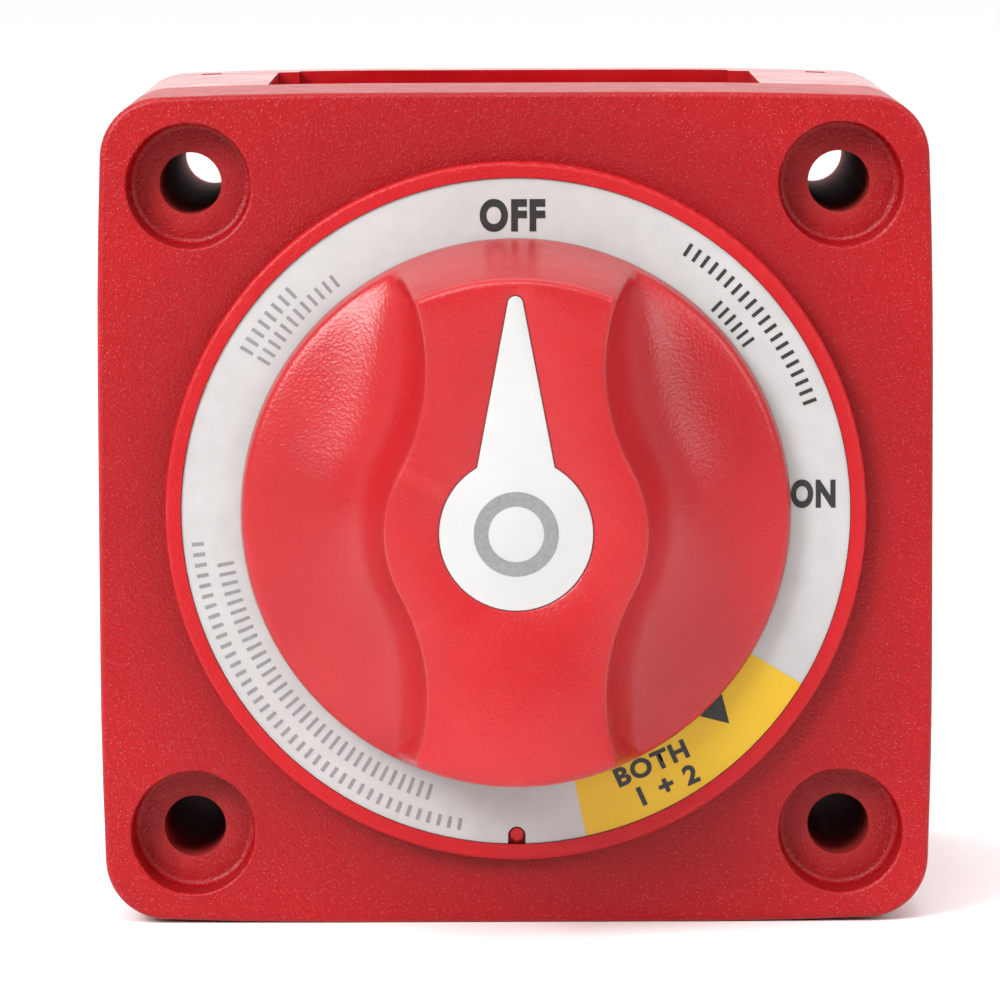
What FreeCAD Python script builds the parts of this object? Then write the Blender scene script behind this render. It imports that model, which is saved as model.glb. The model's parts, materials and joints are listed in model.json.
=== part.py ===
"""Marine battery switch: dual circuit, three positions, panel or surface mounted.

The knob's axis is the Y axis. The front of the switch faces -Y, +Z is up, and the origin is the
centre of the flat rear face. A "level" is a distance in front of that rear face, in millimetres.
"""
import FreeCAD, Part
import math
import os
import Sketcher

Vector = FreeCAD.Vector

SIZES = [
    # shared
    ("overlap", 0.5, "how far added material reaches into what it joins"),
    ("past", 1.0, "how far a cutting outline reaches past the part"),
    # case
    ("face_half", 35.5, "half width of the square case at the middle of a side"),
    ("face_flat", 12.0, "half length of the flat stretch in the middle of a side, on which the case stands"),
    ("face_corner", 34.95, "half width of the square case at its corners, before rounding"),
    ("corner_radius", 5.2, "radius of the case's four long edges"),
    ("edge_radius", 0.5, "rounding of the face plate's front edge"),
    ("band_back", 34.8, "level of the front housing's rear edge"),
    ("plate_back", 52.2, "level of the face plate's inner side"),
    ("plate_front", 55.2, "level of the face plate"),
    ("wall", 3.0, "thickness of the housing's side walls"),
    ("post_inner", 21.5, "distance of a post's inner sides from the axis"),
    ("post_relief", 0.3, "how much nearer the axis the cavity's corners come than the posts"),
    ("hole_pitch", 55.3, "distance between mounting holes"),
    ("hole_radius", 2.65, "radius of a mounting hole"),
    ("dish_radius", 5.25, "radius of the dish around a mounting hole"),
    ("dish_depth", 4.2, "depth of a dish"),
    ("dish_round", 0.6, "rounding between a dish's wall and its floor"),
    ("dish_lip", 0.3, "rounding of a dish's upper edge"),
    # boss and label ring
    ("boss_radius", 29.75, "radius of the raised round bezel"),
    ("boss_front", 57.5, "level of the bezel's rim"),
    ("boss_round", 0.4, "rounding of the bezel's outer edge"),
    ("label_radius", 28.35, "outer radius of the label ring"),
    ("label_inner", 19.0, "inner radius of the label ring"),
    ("label_back", 56.5, "level of the label ring's seat"),
    ("label_thick", 0.8, "thickness of the label ring"),
    ("label_gap", 0.05, "gap around the label ring"),
    ("key_radius", 0.55, "radius of the peg that keys the label ring"),
    ("key_place", 27.55, "distance of the key peg below the axis"),
    ("key_notch", 0.75, "half width of the label ring's notch"),
    # inside of the housing
    ("chamber_radius", 20.0, "radius of the chamber that the rotor turns in"),
    ("chamber_front", 53.5, "level of the chamber's front wall"),
    ("guide_radius", 22.4, "outer radius of the wall around the chamber"),
    ("guide_back", 43.0, "level where the wall around the chamber starts"),
    ("core_radius", 27.2, "outer radius of the cored groove behind the bezel"),
    ("boss_core_depth", 0.8, "how far the cored groove goes past the chamber's front wall"),
    ("bore_radius", 7.0, "radius of the shaft bore"),
    ("stop_inner", 12.0, "inner radius of the rotor stop's track"),
    ("stop_outer", 17.0, "outer radius of the rotor stop's track"),
    ("stop_back", 50.4, "level where the fixed stop starts"),
    ("stop_half", 6.0, "half angle of the rotor's stop lug"),
    ("turn_range", 135.0, "travel of the knob from OFF to COMBINE"),
    ("stop_slack", 0.8, "angle left free at each stop"),
    ("notch_radius", 1.2, "radius of a detent notch"),
    # base
    ("deck_back", 32.3, "level of the deck's rear side"),
    ("deck_front", 36.3, "level of the deck's front side"),
    ("deck_half", 32.0, "half width of the deck"),
    ("fit_gap", 0.15, "gap where one still part nests in another"),
    ("rib_half", 1.0, "half thickness of a barrier rib"),
    ("rib_reach", 17.5, "reach of a barrier rib from the axis"),
    ("rib_back", 20.0, "level of the barrier ribs' rear edge"),
    ("screw_place", 16.5, "offset of an assembly screw in both directions"),
    ("screw_boss", 3.2, "radius of an assembly screw's boss"),
    ("screw_radius", 1.5, "radius of an assembly screw"),
    ("boss_gap", 0.1, "gap between a screw boss and the deck"),
    ("screw_spare", 0.5, "depth of a screw hole beyond the screw"),
    ("screw_head", 2.8, "radius of an assembly screw's head"),
    ("screw_head_high", 2.0, "height of an assembly screw's head"),
    ("screw_front", 46.0, "level that an assembly screw reaches"),
    ("pivot_radius", 3.0, "radius of the rotor's rear pivot"),
    ("pivot_back", 34.4, "level of the rear pivot's end"),
    ("pivot_gap", 0.3, "gap behind the rear pivot"),
    ("run_gap", 0.05, "radial running clearance"),
    # rear cover
    ("cover_thick", 3.0, "thickness of the rear cover's floor"),
    ("rim_front", 4.5, "level of the rear cover's low rim"),
    ("rim_wall", 1.6, "thickness of the rear cover's walls"),
    ("cup_front", 6.5, "level of the rear cover's corner cups"),
    ("slide_gap", 0.3, "gap between a post and its cup"),
    ("pry_half", 0.9, "half width of a pry slot"),
    ("pry_depth", 2.4, "depth of a pry slot"),
    # terminals
    ("stud_circle", 21.0, "distance of a stud from the axis"),
    ("stud_radius", 4.76, "radius of a stud"),
    ("stud_neck", 4.4, "radius of a stud under its nut and inside its collar"),
    ("stud_back", 10.1, "level of a stud's free end"),
    ("stud_free", 8.9, "length of a stud beyond its nut"),
    ("stud_tip", 0.8, "bevel of a stud's free end"),
    ("stud_head", 5.6, "radius of a stud's head"),
    ("stud_head_high", 0.9, "height of a stud's head"),
    ("collar_radius", 7.4, "radius of a terminal's collar"),
    ("collar_back", 31.3, "level of the collar's clamping face"),
    ("terminal_thick", 2.0, "thickness of a terminal"),
    ("terminal_half", 6.6, "half width of a terminal"),
    ("terminal_end", 28.4, "outer end of a terminal"),
    ("nose_half", 4.9, "half width of a terminal's contact nose"),
    ("nose_overhang", 0.4, "how far a nose reaches past its track"),
    ("shoulder_slope", 2.0, "length over which a terminal widens behind its nose"),
    ("button_radius", 1.4, "radius of a contact button"),
    ("button_high", 1.0, "height of a contact button"),
    ("nut_flats", 14.3, "width of a stud nut across its flats"),
    ("nut_high", 8.3, "height of a stud nut"),
    ("nut_bevel", 0.15, "width of the bevel on a stud nut's outer face"),
    ("washer_radius", 9.0, "radius of a flat washer"),
    ("washer_bore", 5.1, "radius of a washer's hole"),
    ("washer_thick", 1.6, "thickness of a flat washer"),
    ("lock_radius", 8.6, "radius of a lock washer"),
    ("lock_thick", 2.4, "thickness of a lock washer"),
    ("lock_slit", 0.6, "half width of a lock washer's slit"),
    # rotor and moving contacts
    ("rotor_radius", 19.6, "radius of the rotor"),
    ("rotor_skirt", 39.9, "level of the rotor's rear edges"),
    ("rotor_back", 45.0, "level of the rotor disc's rear side"),
    ("rotor_front", 50.0, "level of the rotor disc's front side"),
    ("hub_radius", 6.5, "radius of the rotor's rear hub"),
    ("shoulder_radius", 9.5, "radius of the rotor's front shoulder"),
    ("shoulder_front", 53.3, "level of the rotor's front shoulder"),
    ("divider_inner", 10.6, "inner radius of the wall between the tracks"),
    ("divider_outer", 11.9, "outer radius of the wall between the tracks"),
    ("rim_inner", 15.6, "inner radius of the rotor's rim"),
    ("collar_front", 57.4, "level of the shaft's round collar"),
    ("drive_half", 4.0, "half width of the square drive"),
    ("drive_front", 67.0, "level of the square drive's end"),
    ("drive_end_gap", 0.2, "gap beyond the square drive's end"),
    ("insert_set_back", 0.2, "how far the threaded insert stays behind the drive's end"),
    ("insert_radius", 2.6, "outer radius of the threaded insert"),
    ("insert_bore", 2.05, "radius of the threaded insert's bore"),
    ("insert_back", 57.8, "level of the threaded insert's rear end"),
    ("lug_front", 52.6, "level of the stop lug"),
    ("lug_gap", 0.3, "gap between the stop lug and the sides of its track"),
    ("seal_back", 54.3, "level of the seal groove's rear side"),
    ("seal_front", 55.7, "level of the seal groove's front side"),
    ("seal_floor", 5.7, "radius of the seal groove's floor"),
    ("seal_minor", 0.58, "radius of the shaft seal's cord"),
    ("arc_back", 39.4, "level of the moving contacts' rear side"),
    ("arc_thick", 1.6, "thickness of a moving contact"),
    ("inner_track", 7.0, "inner radius of the inner track"),
    ("inner_track_end", 10.0, "outer radius of the inner track"),
    ("outer_track", 12.5, "inner radius of the outer track"),
    ("outer_track_end", 15.0, "outer radius of the outer track"),
    ("inner_arc_start", 155.0, "clock angle where the inner moving contact starts, at OFF"),
    ("inner_arc_stop", 365.0, "clock angle where the inner moving contact stops, at OFF"),
    ("outer_arc_start", 40.0, "clock angle where the outer moving contact starts, at OFF"),
    ("outer_arc_stop", 185.0, "clock angle where the outer moving contact stops, at OFF"),
    ("link_start", 297.0, "clock angle where the combiner link starts"),
    ("link_stop", 313.0, "clock angle where the combiner link stops"),
    ("spring_inset", 30.0, "angle between a moving contact's end and its spring"),
    ("spring_pocket", 2.4, "depth of a spring pocket in the rotor"),
    ("spring_pocket_wide", 1.4, "radius of a spring pocket"),
    ("spring_radius", 1.0, "mean radius of a contact spring"),
    ("spring_wire", 0.22, "wire radius of a spring"),
    ("spring_turns", 5.0, "turns of a contact spring"),
    ("ball_radius", 1.5, "radius of a detent ball"),
    ("ball_place", 18.4, "distance of a detent ball from the axis"),
    ("detent_bore", 1.6, "radius of a detent bore"),
    ("detent_floor", 13.9, "distance of the detent bore's floor from the axis"),
    ("detent_coil", 1.05, "mean radius of a detent spring"),
    ("detent_turns", 4, "turns of a detent spring"),
    ("detent_level", 47.9, "level of the detents"),
    # knob
    ("skirt_radius", 23.35, "radius of the knob's skirt"),
    ("knob_back", 57.6, "level of the skirt's rear edge"),
    ("skirt_front", 60.1, "level of the skirt's low rim"),
    ("knob_front", 75.3, "level of the grip's face"),
    ("floor_radius", 13.6, "radius of the concave floor, from skirt to grip"),
    ("floor_top_radius", 9.0, "distance from the axis where the concave floor ends"),
    ("floor_rise", 10.0, "rise of the concave floor from skirt to grip"),
    ("grip_waist", 10.9, "radius of the grip's middle"),
    ("grip_end", 20.9, "radius of the grip's ends"),
    ("grip_flank_x", 25.0, "offset of a concave flank's centre to the side"),
    ("grip_flank_z", 13.67, "offset of a concave flank's centre upwards"),
    ("grip_end_half", 8.3, "half width of the grip's ends"),
    ("grip_round", 0.5, "rounding of the grip's face edge"),
    ("knob_well", 59.4, "level of the recess under the knob"),
    ("knob_well_radius", 21.0, "radius of the recess under the knob"),
    ("knob_hub", 8.0, "radius of the knob's hub"),
    ("core_half", 4.6, "half width of the hollow inside the grip"),
    ("core_start", 9.6, "start of the hollow inside the grip"),
    ("core_end", 16.6, "end of the hollow inside the grip"),
    ("core_front", 72.4, "level of the hollow inside the grip"),
    ("head_seat", 69.6, "level of the knob screw's seat"),
    ("head_well", 4.3, "radius of the knob screw's well"),
    ("knob_screw_hole", 2.2, "radius of the hole in the knob's hub"),
    ("knob_screw_radius", 1.95, "radius of the knob screw"),
    ("knob_screw_head", 3.6, "radius of the knob screw's head"),
    ("knob_screw_high", 2.6, "height of the knob screw's head"),
    ("knob_screw_back", 60.0, "level of the knob screw's tip"),
    ("recess_half", 0.27, "half width of the knob screw's cross recess"),
    ("recess_reach", 2.16, "reach of the knob screw's cross recess"),
    ("knob_washer", 4.0, "radius of the knob screw's washer"),
    ("knob_washer_thick", 0.6, "thickness of the knob screw's washer"),
    # pointer
    ("pointer_back", 74.1, "level of the pointer's seat"),
    ("pointer_disc", 6.35, "radius of the pointer's disc"),
    ("pointer_root", 3.2, "half width of the pointer where it leaves the disc"),
    ("pointer_tip", 19.7, "distance of the pointer's tip from the axis"),
    ("pointer_tip_round", 0.65, "radius of the pointer's tip"),
    ("pointer_gap", 0.15, "gap around the pointer"),
    ("pointer_proud", 0.1, "how far the pointer stands above the grip's face"),
]

doc = FreeCAD.newDocument("BatterySwitch")
sheet = doc.addObject("Spreadsheet::Sheet", "dim")
for row, (alias, size, meaning) in enumerate(SIZES, 1):
    sheet.set(f"A{row}", meaning)
    sheet.set(f"B{row}", str(size))
    sheet.setAlias(f"B{row}", alias)
doc.recompute()

PARTS = []
CORNERS = [(-1, -1), (1, -1), (1, 1), (-1, 1)]
STUD_CLOCKS = [0, 90, 180, 270]
HALF_PITCH = "dim.hole_pitch / 2"
# radius of a strip's round end over half its width: a full half circle leaves a sketch unstable
ROUND_END = 1.01


# ---------------------------------------------------------------- helpers

def at(expression):
    """The present value of an expression of the sheet."""
    value = sheet.evalExpression(str(expression))
    return float(getattr(value, "Value", value))


def register(part, name):
    """Give a sub-part its name and note it for checking and export."""
    part.Label = name
    PARTS.append(part)
    return part


def new_body(name, clock=0.0):
    """A body turned clockwise about the knob's axis by an angle, as seen from the front."""
    body = doc.addObject("PartDesign::Body", name)
    body.AllowCompound = True
    body.Placement = FreeCAD.Placement(Vector(0, 0, 0), FreeCAD.Rotation(Vector(0, 1, 0), clock))
    return register(body, name)


def new_sketch(body, name, level="0", role="XZ_Plane"):
    """A sketch on one of the body's origin planes; on XZ_Plane it faces the front at a level."""
    plane = next(item for item in body.Origin.OriginFeatures if item.Role == role)
    sketch = body.newObject("Sketcher::SketchObject", f"{body.Name}_{name}_outline")
    sketch.AttachmentSupport = (plane, [""])
    sketch.MapMode = "FlatFace"
    sketch.setExpression("AttachmentOffset.Base.z", level)
    return sketch


def bind(sketch, constraint, expression):
    """Drive a dimension of a sketch from the sheet."""
    name = f"size_{constraint}"
    sketch.renameConstraint(constraint, name)
    sketch.setExpression(f"Constraints.{name}", expression)


def place(sketch, edge, end, x, z):
    """Hold a point of a sketch at the expressions x and z."""
    if x == "0":
        sketch.addConstraint(Sketcher.Constraint("PointOnObject", edge, end, -2))
    else:
        bind(sketch, sketch.addConstraint(Sketcher.Constraint("DistanceX", -1, 1, edge, end, at(x))), x)
    if z == "0":
        sketch.addConstraint(Sketcher.Constraint("PointOnObject", edge, end, -1))
    else:
        bind(sketch, sketch.addConstraint(Sketcher.Constraint("DistanceY", -1, 1, edge, end, at(z))), z)


def circle(sketch, radius, x="0", z="0"):
    """A circle whose radius and centre are expressions."""
    curve = Part.Circle(Vector(at(x), at(z), 0), Vector(0, 0, 1), at(radius))
    edge = sketch.addGeometry(curve, False)
    bind(sketch, sketch.addConstraint(Sketcher.Constraint("Radius", edge, at(radius))), radius)
    place(sketch, edge, 3, x, z)


def four_circles(sketch, radius, offset):
    """Circles at the four corners of a square."""
    for side_x, side_z in CORNERS:
        circle(sketch, radius, f"{side_x} * ({offset})", f"{side_z} * ({offset})")


def arc_between(start, end, radius, long_way):
    """An arc that bulges to the right of the way from start to end, or left if radius < 0."""
    chord = end - start
    half = chord.Length / 2
    size = abs(radius)
    rise = math.sqrt(max(size ** 2 - half ** 2, 0.0))
    if long_way != (radius < 0):
        rise = -rise
    left = Vector(-chord.y, chord.x, 0).normalize()
    centre = (start + end) * 0.5 + left * rise
    ends = (start, end) if radius > 0 else (end, start)
    angles = [math.atan2(point.y - centre.y, point.x - centre.x) for point in ends]
    return Part.ArcOfCircle(Part.Circle(centre, Vector(0, 0, 1), size), *angles)


def outline(sketch, points, arcs=None):
    """A closed outline through points given as expressions.

    arcs maps the number of a point to (radius, turn, long_way) of the arc that leaves it. turn is
    1 for an arc that runs anticlockwise in the sketch and -1 for clockwise.
    """
    arcs = arcs or {}
    places = [Vector(at(x), at(z), 0) for x, z in points]
    edges = []
    for number, start in enumerate(places):
        end = places[(number + 1) % len(places)]
        if number in arcs:
            radius, turn, long_way = arcs[number]
            edge = sketch.addGeometry(arc_between(start, end, turn * at(radius), long_way), False)
            bind(sketch, sketch.addConstraint(Sketcher.Constraint("Radius", edge, at(radius))), radius)
            edges.append((edge, 1, 2) if turn > 0 else (edge, 2, 1))
        else:
            edges.append((sketch.addGeometry(Part.LineSegment(start, end), False), 1, 2))
    for number, (edge, first, last) in enumerate(edges):
        after, after_first, after_last = edges[(number + 1) % len(edges)]
        sketch.addConstraint(Sketcher.Constraint("Coincident", edge, last, after, after_first))
        place(sketch, edge, first, *points[number])


def rectangle(sketch, left, right, bottom, top):
    """An upright rectangle between four expressions."""
    outline(sketch, [(left, bottom), (right, bottom), (right, top), (left, top)])


def add(body, name, back, front, draw):
    """Add material between two levels inside what draw puts into the sketch."""
    sketch = new_sketch(body, name, back)
    draw(sketch)
    pad = body.newObject("PartDesign::Pad", f"{body.Name}_{name}")
    pad.Profile = sketch
    pad.setExpression("Length", f"({front}) - ({back})")
    doc.recompute()
    return pad


def pocket(body, name, sketch, length, along_normal=False):
    """Cut a sketch out of a body, and stop if that removes nothing."""
    before = body.Shape.Volume
    feature = body.newObject("PartDesign::Pocket", f"{body.Name}_{name}")
    feature.Profile = sketch
    feature.Reversed = along_normal
    feature.setExpression("Length", length)
    doc.recompute()
    if body.Shape.Volume >= before:
        raise RuntimeError(f"{feature.Name} removes nothing")


def cut(body, name, back, front, draw):
    """Remove material between two levels inside what draw puts into the sketch."""
    sketch = new_sketch(body, name, front)
    draw(sketch)
    pocket(body, name, sketch, f"({front}) - ({back})")


def revolve(body, name, points, arcs=None):
    """Turn a half section, given as (radius, level) expressions, about the knob's axis."""
    sketch = new_sketch(body, name, role="XY_Plane")
    outline(sketch, [(radius, f"-({level})") for radius, level in points], arcs)
    feature = body.newObject("PartDesign::Revolution", f"{body.Name}_{name}")
    feature.Profile = sketch
    feature.ReferenceAxis = (sketch, ["V_Axis"])
    feature.Angle = 360
    doc.recompute()
    return feature


def edges_where(shape, wanted):
    """Names of the edges whose middle point and curve pass a test."""
    names = []
    for number, edge in enumerate(shape.Edges, 1):
        middle = edge.valueAt((edge.FirstParameter + edge.LastParameter) / 2)
        if wanted(edge, middle):
            names.append(f"Edge{number}")
    return names


def dress(body, kind, name, edges, **sizes):
    """Fillet or chamfer edges of the body's present shape; sizes are expressions."""
    base = body.Tip
    feature = body.newObject(f"PartDesign::{kind}", f"{body.Name}_{name}")
    feature.Base = (base, edges)
    if "Size2" in sizes:
        feature.ChamferType = "Two distances"
    for key, expression in sizes.items():
        feature.setExpression(key, expression)
    doc.recompute()
    return feature


def is_circle(edge, radius, level, middle):
    """True for a round edge of a radius that lies at a level."""
    return (
        isinstance(edge.Curve, Part.Circle)
        and abs(edge.Curve.Radius - radius) < 1e-4
        and abs(middle.y + level) < 1e-4
    )


def polar(radius, clock):
    """Expressions for the place at a radius and a clock angle."""
    return f"({radius}) * sin({clock})", f"({radius}) * cos({clock})"


def sector(sketch, inner, outer, start, stop):
    """A ring sector between two radii, clockwise from one clock angle to another."""
    points = [polar(inner, start), polar(outer, start), polar(outer, stop), polar(inner, stop)]
    long_way = at(stop) - at(start) > 180
    outline(sketch, points, {1: (outer, -1, long_way), 3: (inner, 1, long_way)})


# ---------------------------------------------------------------- shared outlines

def case_outline(sketch):
    """The square case: a side is flat in the middle and curves in slightly towards its corners."""
    drop = "(dim.face_half - dim.face_corner)"
    run = "(dim.face_corner - dim.face_flat)"
    radius = f"({drop}^2 + {run}^2) / (2 * {drop})"
    points = []
    arcs = {}
    for (x, z), (next_x, next_z) in zip(CORNERS, CORNERS[1:] + CORNERS[:1]):
        arcs[len(points)] = arcs[len(points) + 2] = (radius, 1, False)
        points.append((f"{x} * dim.face_corner", f"{z} * dim.face_corner"))
        level_side = z == next_z
        flat_x = "dim.face_flat" if level_side else "dim.face_half"
        flat_z = "dim.face_half" if level_side else "dim.face_flat"
        points.append((f"{x} * {flat_x}", f"{z} * {flat_z}"))
        points.append((f"{next_x} * {flat_x}", f"{next_z} * {flat_z}"))
    outline(sketch, points, arcs)


def cross_outline(sketch, reach, inner):
    """A square of half width reach whose corners are cut back to inner."""
    far, near = f"({reach})", f"({inner})"
    points = [
        (f"-{far}", f"-{near}"), (f"-{near}", f"-{near}"), (f"-{near}", f"-{far}"),
        (near, f"-{far}"), (near, f"-{near}"), (far, f"-{near}"),
        (far, near), (near, near), (near, far),
        (f"-{near}", far), (f"-{near}", near), (f"-{far}", near),
    ]
    outline(sketch, points)


def corner_squares(sketch, inner, outer):
    """Squares in the four corners, between two distances from the axis."""
    for side_x, side_z in CORNERS:
        x_ends = sorted([f"{side_x} * ({inner})", f"{side_x} * ({outer})"], key=at)
        z_ends = sorted([f"{side_z} * ({inner})", f"{side_z} * ({outer})"], key=at)
        rectangle(sketch, *x_ends, *z_ends)


def round_case(body):
    """Round the four long edges of the case."""
    long_edge = at("dim.face_corner") - 0.01

    def is_long_edge(edge, middle):
        upright = isinstance(edge.Curve, Part.Line) and abs(edge.Curve.Direction.y) > 0.99
        return upright and abs(middle.x) > long_edge and abs(middle.z) > long_edge

    dress(body, "Fillet", "long_edges", edges_where(body.Shape, is_long_edge), Radius="dim.corner_radius")


def mounting_holes(body, back, front):
    """The four mounting holes between two levels."""
    cut(body, "mounting_holes", back, front,
        lambda sketch: four_circles(sketch, "dim.hole_radius", HALF_PITCH))


# ---------------------------------------------------------------- still parts

def make_front_housing():
    """Face plate, side band and raised bezel in one moulding, hollow behind."""
    body = new_body("front_housing")
    add(body, "band", "dim.band_back", "dim.plate_front", case_outline)
    round_case(body)
    plate_level = at("dim.plate_front")
    rim = edges_where(body.Shape, lambda edge, middle: abs(middle.y + plate_level) < 1e-4)
    dress(body, "Fillet", "plate_edge", rim, Radius="dim.edge_radius")
    add(body, "bezel", "dim.plate_front - dim.overlap", "dim.boss_front",
        lambda sketch: circle(sketch, "dim.boss_radius"))
    boss = (at("dim.boss_radius"), at("dim.boss_front"))
    dress(body, "Fillet", "bezel_edge",
          edges_where(body.Shape, lambda edge, middle: is_circle(edge, *boss, middle)),
          Radius="dim.boss_round")
    cut(body, "label_seat", "dim.label_back", "dim.boss_front",
        lambda sketch: circle(sketch, "dim.label_radius + dim.label_gap"))
    add(body, "label_key", "dim.label_back - dim.overlap", "dim.label_back + dim.label_thick",
        lambda sketch: circle(sketch, "dim.key_radius", "0", "-dim.key_place"))
    hollow_housing(body)
    mounting_holes(body, "dim.band_back", "dim.plate_front")
    floor = "dim.plate_front - dim.dish_depth"
    cut(body, "dishes", floor, "dim.plate_front",
        lambda sketch: four_circles(sketch, "dim.dish_radius", HALF_PITCH))
    for name, level, radius in (("dish_floors", floor, "dim.dish_round"),
                                ("dish_lips", "dim.plate_front", "dim.dish_lip")):
        rim = (at("dim.dish_radius"), at(level))
        dress(body, "Fillet", name,
              edges_where(body.Shape, lambda edge, middle, rim=rim: is_circle(edge, *rim, middle)),
              Radius=radius)


def hollow_housing(body):
    """The housing's inside: cavity, rotor chamber with its stop, detent notches and bosses."""
    cut(body, "cavity", "dim.band_back", "dim.plate_back",
        lambda sketch: cross_outline(sketch, "dim.face_half - dim.wall", "dim.post_inner - dim.post_relief"))
    cut(body, "chamber", "dim.plate_back", "dim.chamber_front",
        lambda sketch: circle(sketch, "dim.chamber_radius"))

    def core(sketch):
        circle(sketch, "dim.core_radius")
        circle(sketch, "dim.guide_radius")

    def guide(sketch):
        circle(sketch, "dim.guide_radius")
        circle(sketch, "dim.chamber_radius")

    cut(body, "core", "dim.plate_back", "dim.chamber_front + dim.boss_core_depth", core)
    add(body, "guide", "dim.guide_back", "dim.plate_back + dim.overlap", guide)
    add(body, "screw_bosses", "dim.deck_front + dim.boss_gap", "dim.plate_back + dim.overlap",
        lambda sketch: four_circles(sketch, "dim.screw_boss", "dim.screw_place"))
    cut(body, "screw_holes", "dim.deck_front", "dim.screw_front + dim.screw_spare",
        lambda sketch: four_circles(sketch, "dim.screw_radius", "dim.screw_place"))
    cut(body, "shaft_bore", "dim.chamber_front - dim.past", "dim.boss_front",
        lambda sketch: circle(sketch, "dim.bore_radius"))
    free = "dim.stop_half + dim.stop_slack"
    add(body, "stop", "dim.stop_back", "dim.chamber_front + dim.overlap",
        lambda sketch: sector(sketch, "dim.stop_inner", "dim.stop_outer",
                              f"dim.turn_range + {free}", f"360 - ({free})"))

    def notches(sketch):
        for half_turn in (90, 270):
            for stop in ("0", "90", "dim.turn_range"):
                circle(sketch, "dim.notch_radius", *polar("dim.chamber_radius", f"{half_turn} + {stop}"))

    cut(body, "detent_notches", "dim.guide_back", "dim.chamber_front", notches)


def make_label_ring():
    """The printed ring in the bezel, with a notch for its key peg."""
    body = new_body("label_ring")

    def ring(sketch):
        circle(sketch, "dim.label_radius")
        circle(sketch, "dim.label_inner")

    def notch(sketch):
        side = "dim.key_notch"
        depth = "dim.key_place"
        points = [
            (f"-{side}", f"-{depth}"), (f"-{side}", "-dim.boss_radius"),
            (side, "-dim.boss_radius"), (side, f"-{depth}"),
        ]
        outline(sketch, points, {3: (f"{side} * {ROUND_END}", 1, False)})

    add(body, "ring", "dim.label_back", "dim.label_back + dim.label_thick", ring)
    cut(body, "key_notch", "dim.label_back", "dim.label_back + dim.label_thick", notch)


def make_terminal_base():
    """The deck that carries the terminals, its four posts and the barrier ribs."""
    body = new_body("terminal_base")
    add(body, "posts", "dim.cup_front + dim.slide_gap", "dim.band_back", case_outline)
    round_case(body)
    cut(body, "cable_space", "dim.cup_front", "dim.band_back",
        lambda sketch: cross_outline(sketch, "dim.face_half + dim.past", "dim.post_inner"))
    core = "dim.face_corner - dim.rim_wall - dim.slide_gap"
    add(body, "post_cores", "dim.cover_thick + dim.slide_gap", "dim.cup_front + dim.overlap",
        lambda sketch: corner_squares(sketch, "dim.post_inner", core))
    add(body, "deck", "dim.deck_back", "dim.band_back",
        lambda sketch: rectangle(sketch, "-dim.deck_half", "dim.deck_half",
                                 "-dim.deck_half", "dim.deck_half"))
    add(body, "register", "dim.band_back", "dim.deck_front",
        lambda sketch: cross_outline(sketch, "dim.face_half - dim.wall - dim.fit_gap",
                                     "dim.post_inner - dim.post_relief - dim.fit_gap"))

    for name, turn in (("rib_rising", 45), ("rib_falling", 135)):
        add(body, name, "dim.rib_back", "dim.deck_back + dim.overlap",
            lambda sketch, turn=turn: outline(sketch, turned_strip("dim.rib_reach", "dim.rib_half", turn)))
    for number, clock in enumerate(STUD_CLOCKS):
        cut(body, f"collar_hole_{number + 1}", "dim.deck_back", "dim.deck_front",
            lambda sketch, clock=clock: circle(sketch, "dim.collar_radius + dim.fit_gap",
                                               *polar("dim.stud_circle", clock)))
    cut(body, "pivot_bore", "dim.pivot_back - dim.pivot_gap", "dim.deck_front",
        lambda sketch: circle(sketch, "dim.pivot_radius + dim.run_gap"))
    cut(body, "screw_holes", "dim.deck_back", "dim.deck_front",
        lambda sketch: four_circles(sketch, "dim.screw_radius + dim.fit_gap", "dim.screw_place"))
    mounting_holes(body, "dim.cover_thick", "dim.band_back")


def turned_strip(reach, half, turn):
    """Corners of a strip through the axis, turned by an angle."""
    return [
        (f"{along} * {reach} * cos({turn}) - {across} * {half} * sin({turn})",
         f"{along} * {reach} * sin({turn}) + {across} * {half} * cos({turn})")
        for along, across in CORNERS
    ]


def make_rear_cover():
    """The snap-on back: a floor with a low rim and a cup for each post."""
    body = new_body("rear_cover")
    add(body, "block", "0", "dim.cup_front", case_outline)
    round_case(body)
    cut(body, "inside", "dim.cover_thick", "dim.cup_front",
        lambda sketch: cross_outline(sketch, "dim.face_half - dim.rim_wall",
                                     "dim.post_inner - dim.slide_gap - dim.rim_wall"))
    cut(body, "cable_gaps", "dim.rim_front", "dim.cup_front",
        lambda sketch: cross_outline(sketch, "dim.face_half + dim.past",
                                     "dim.post_inner - dim.slide_gap - dim.rim_wall"))
    cut(body, "cups", "dim.cover_thick", "dim.cup_front",
        lambda sketch: corner_squares(sketch, "dim.post_inner - dim.slide_gap",
                                      "dim.face_corner - dim.rim_wall"))

    def pry_slots(sketch):
        reach = "dim.face_half + dim.past"
        for side in (-1, 1):
            middle = f"{side} * {HALF_PITCH}"
            rectangle(sketch, f"{middle} - dim.pry_half", f"{middle} + dim.pry_half",
                      "dim.face_corner - dim.rim_wall - dim.overlap", reach)
            rectangle(sketch, f"{middle} - dim.pry_half", f"{middle} + dim.pry_half",
                      f"-({reach})", "-(dim.face_corner - dim.rim_wall - dim.overlap)")

    cut(body, "pry_slots", "dim.cup_front - dim.pry_depth", "dim.cup_front", pry_slots)
    mounting_holes(body, "0", "dim.cover_thick")


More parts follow.
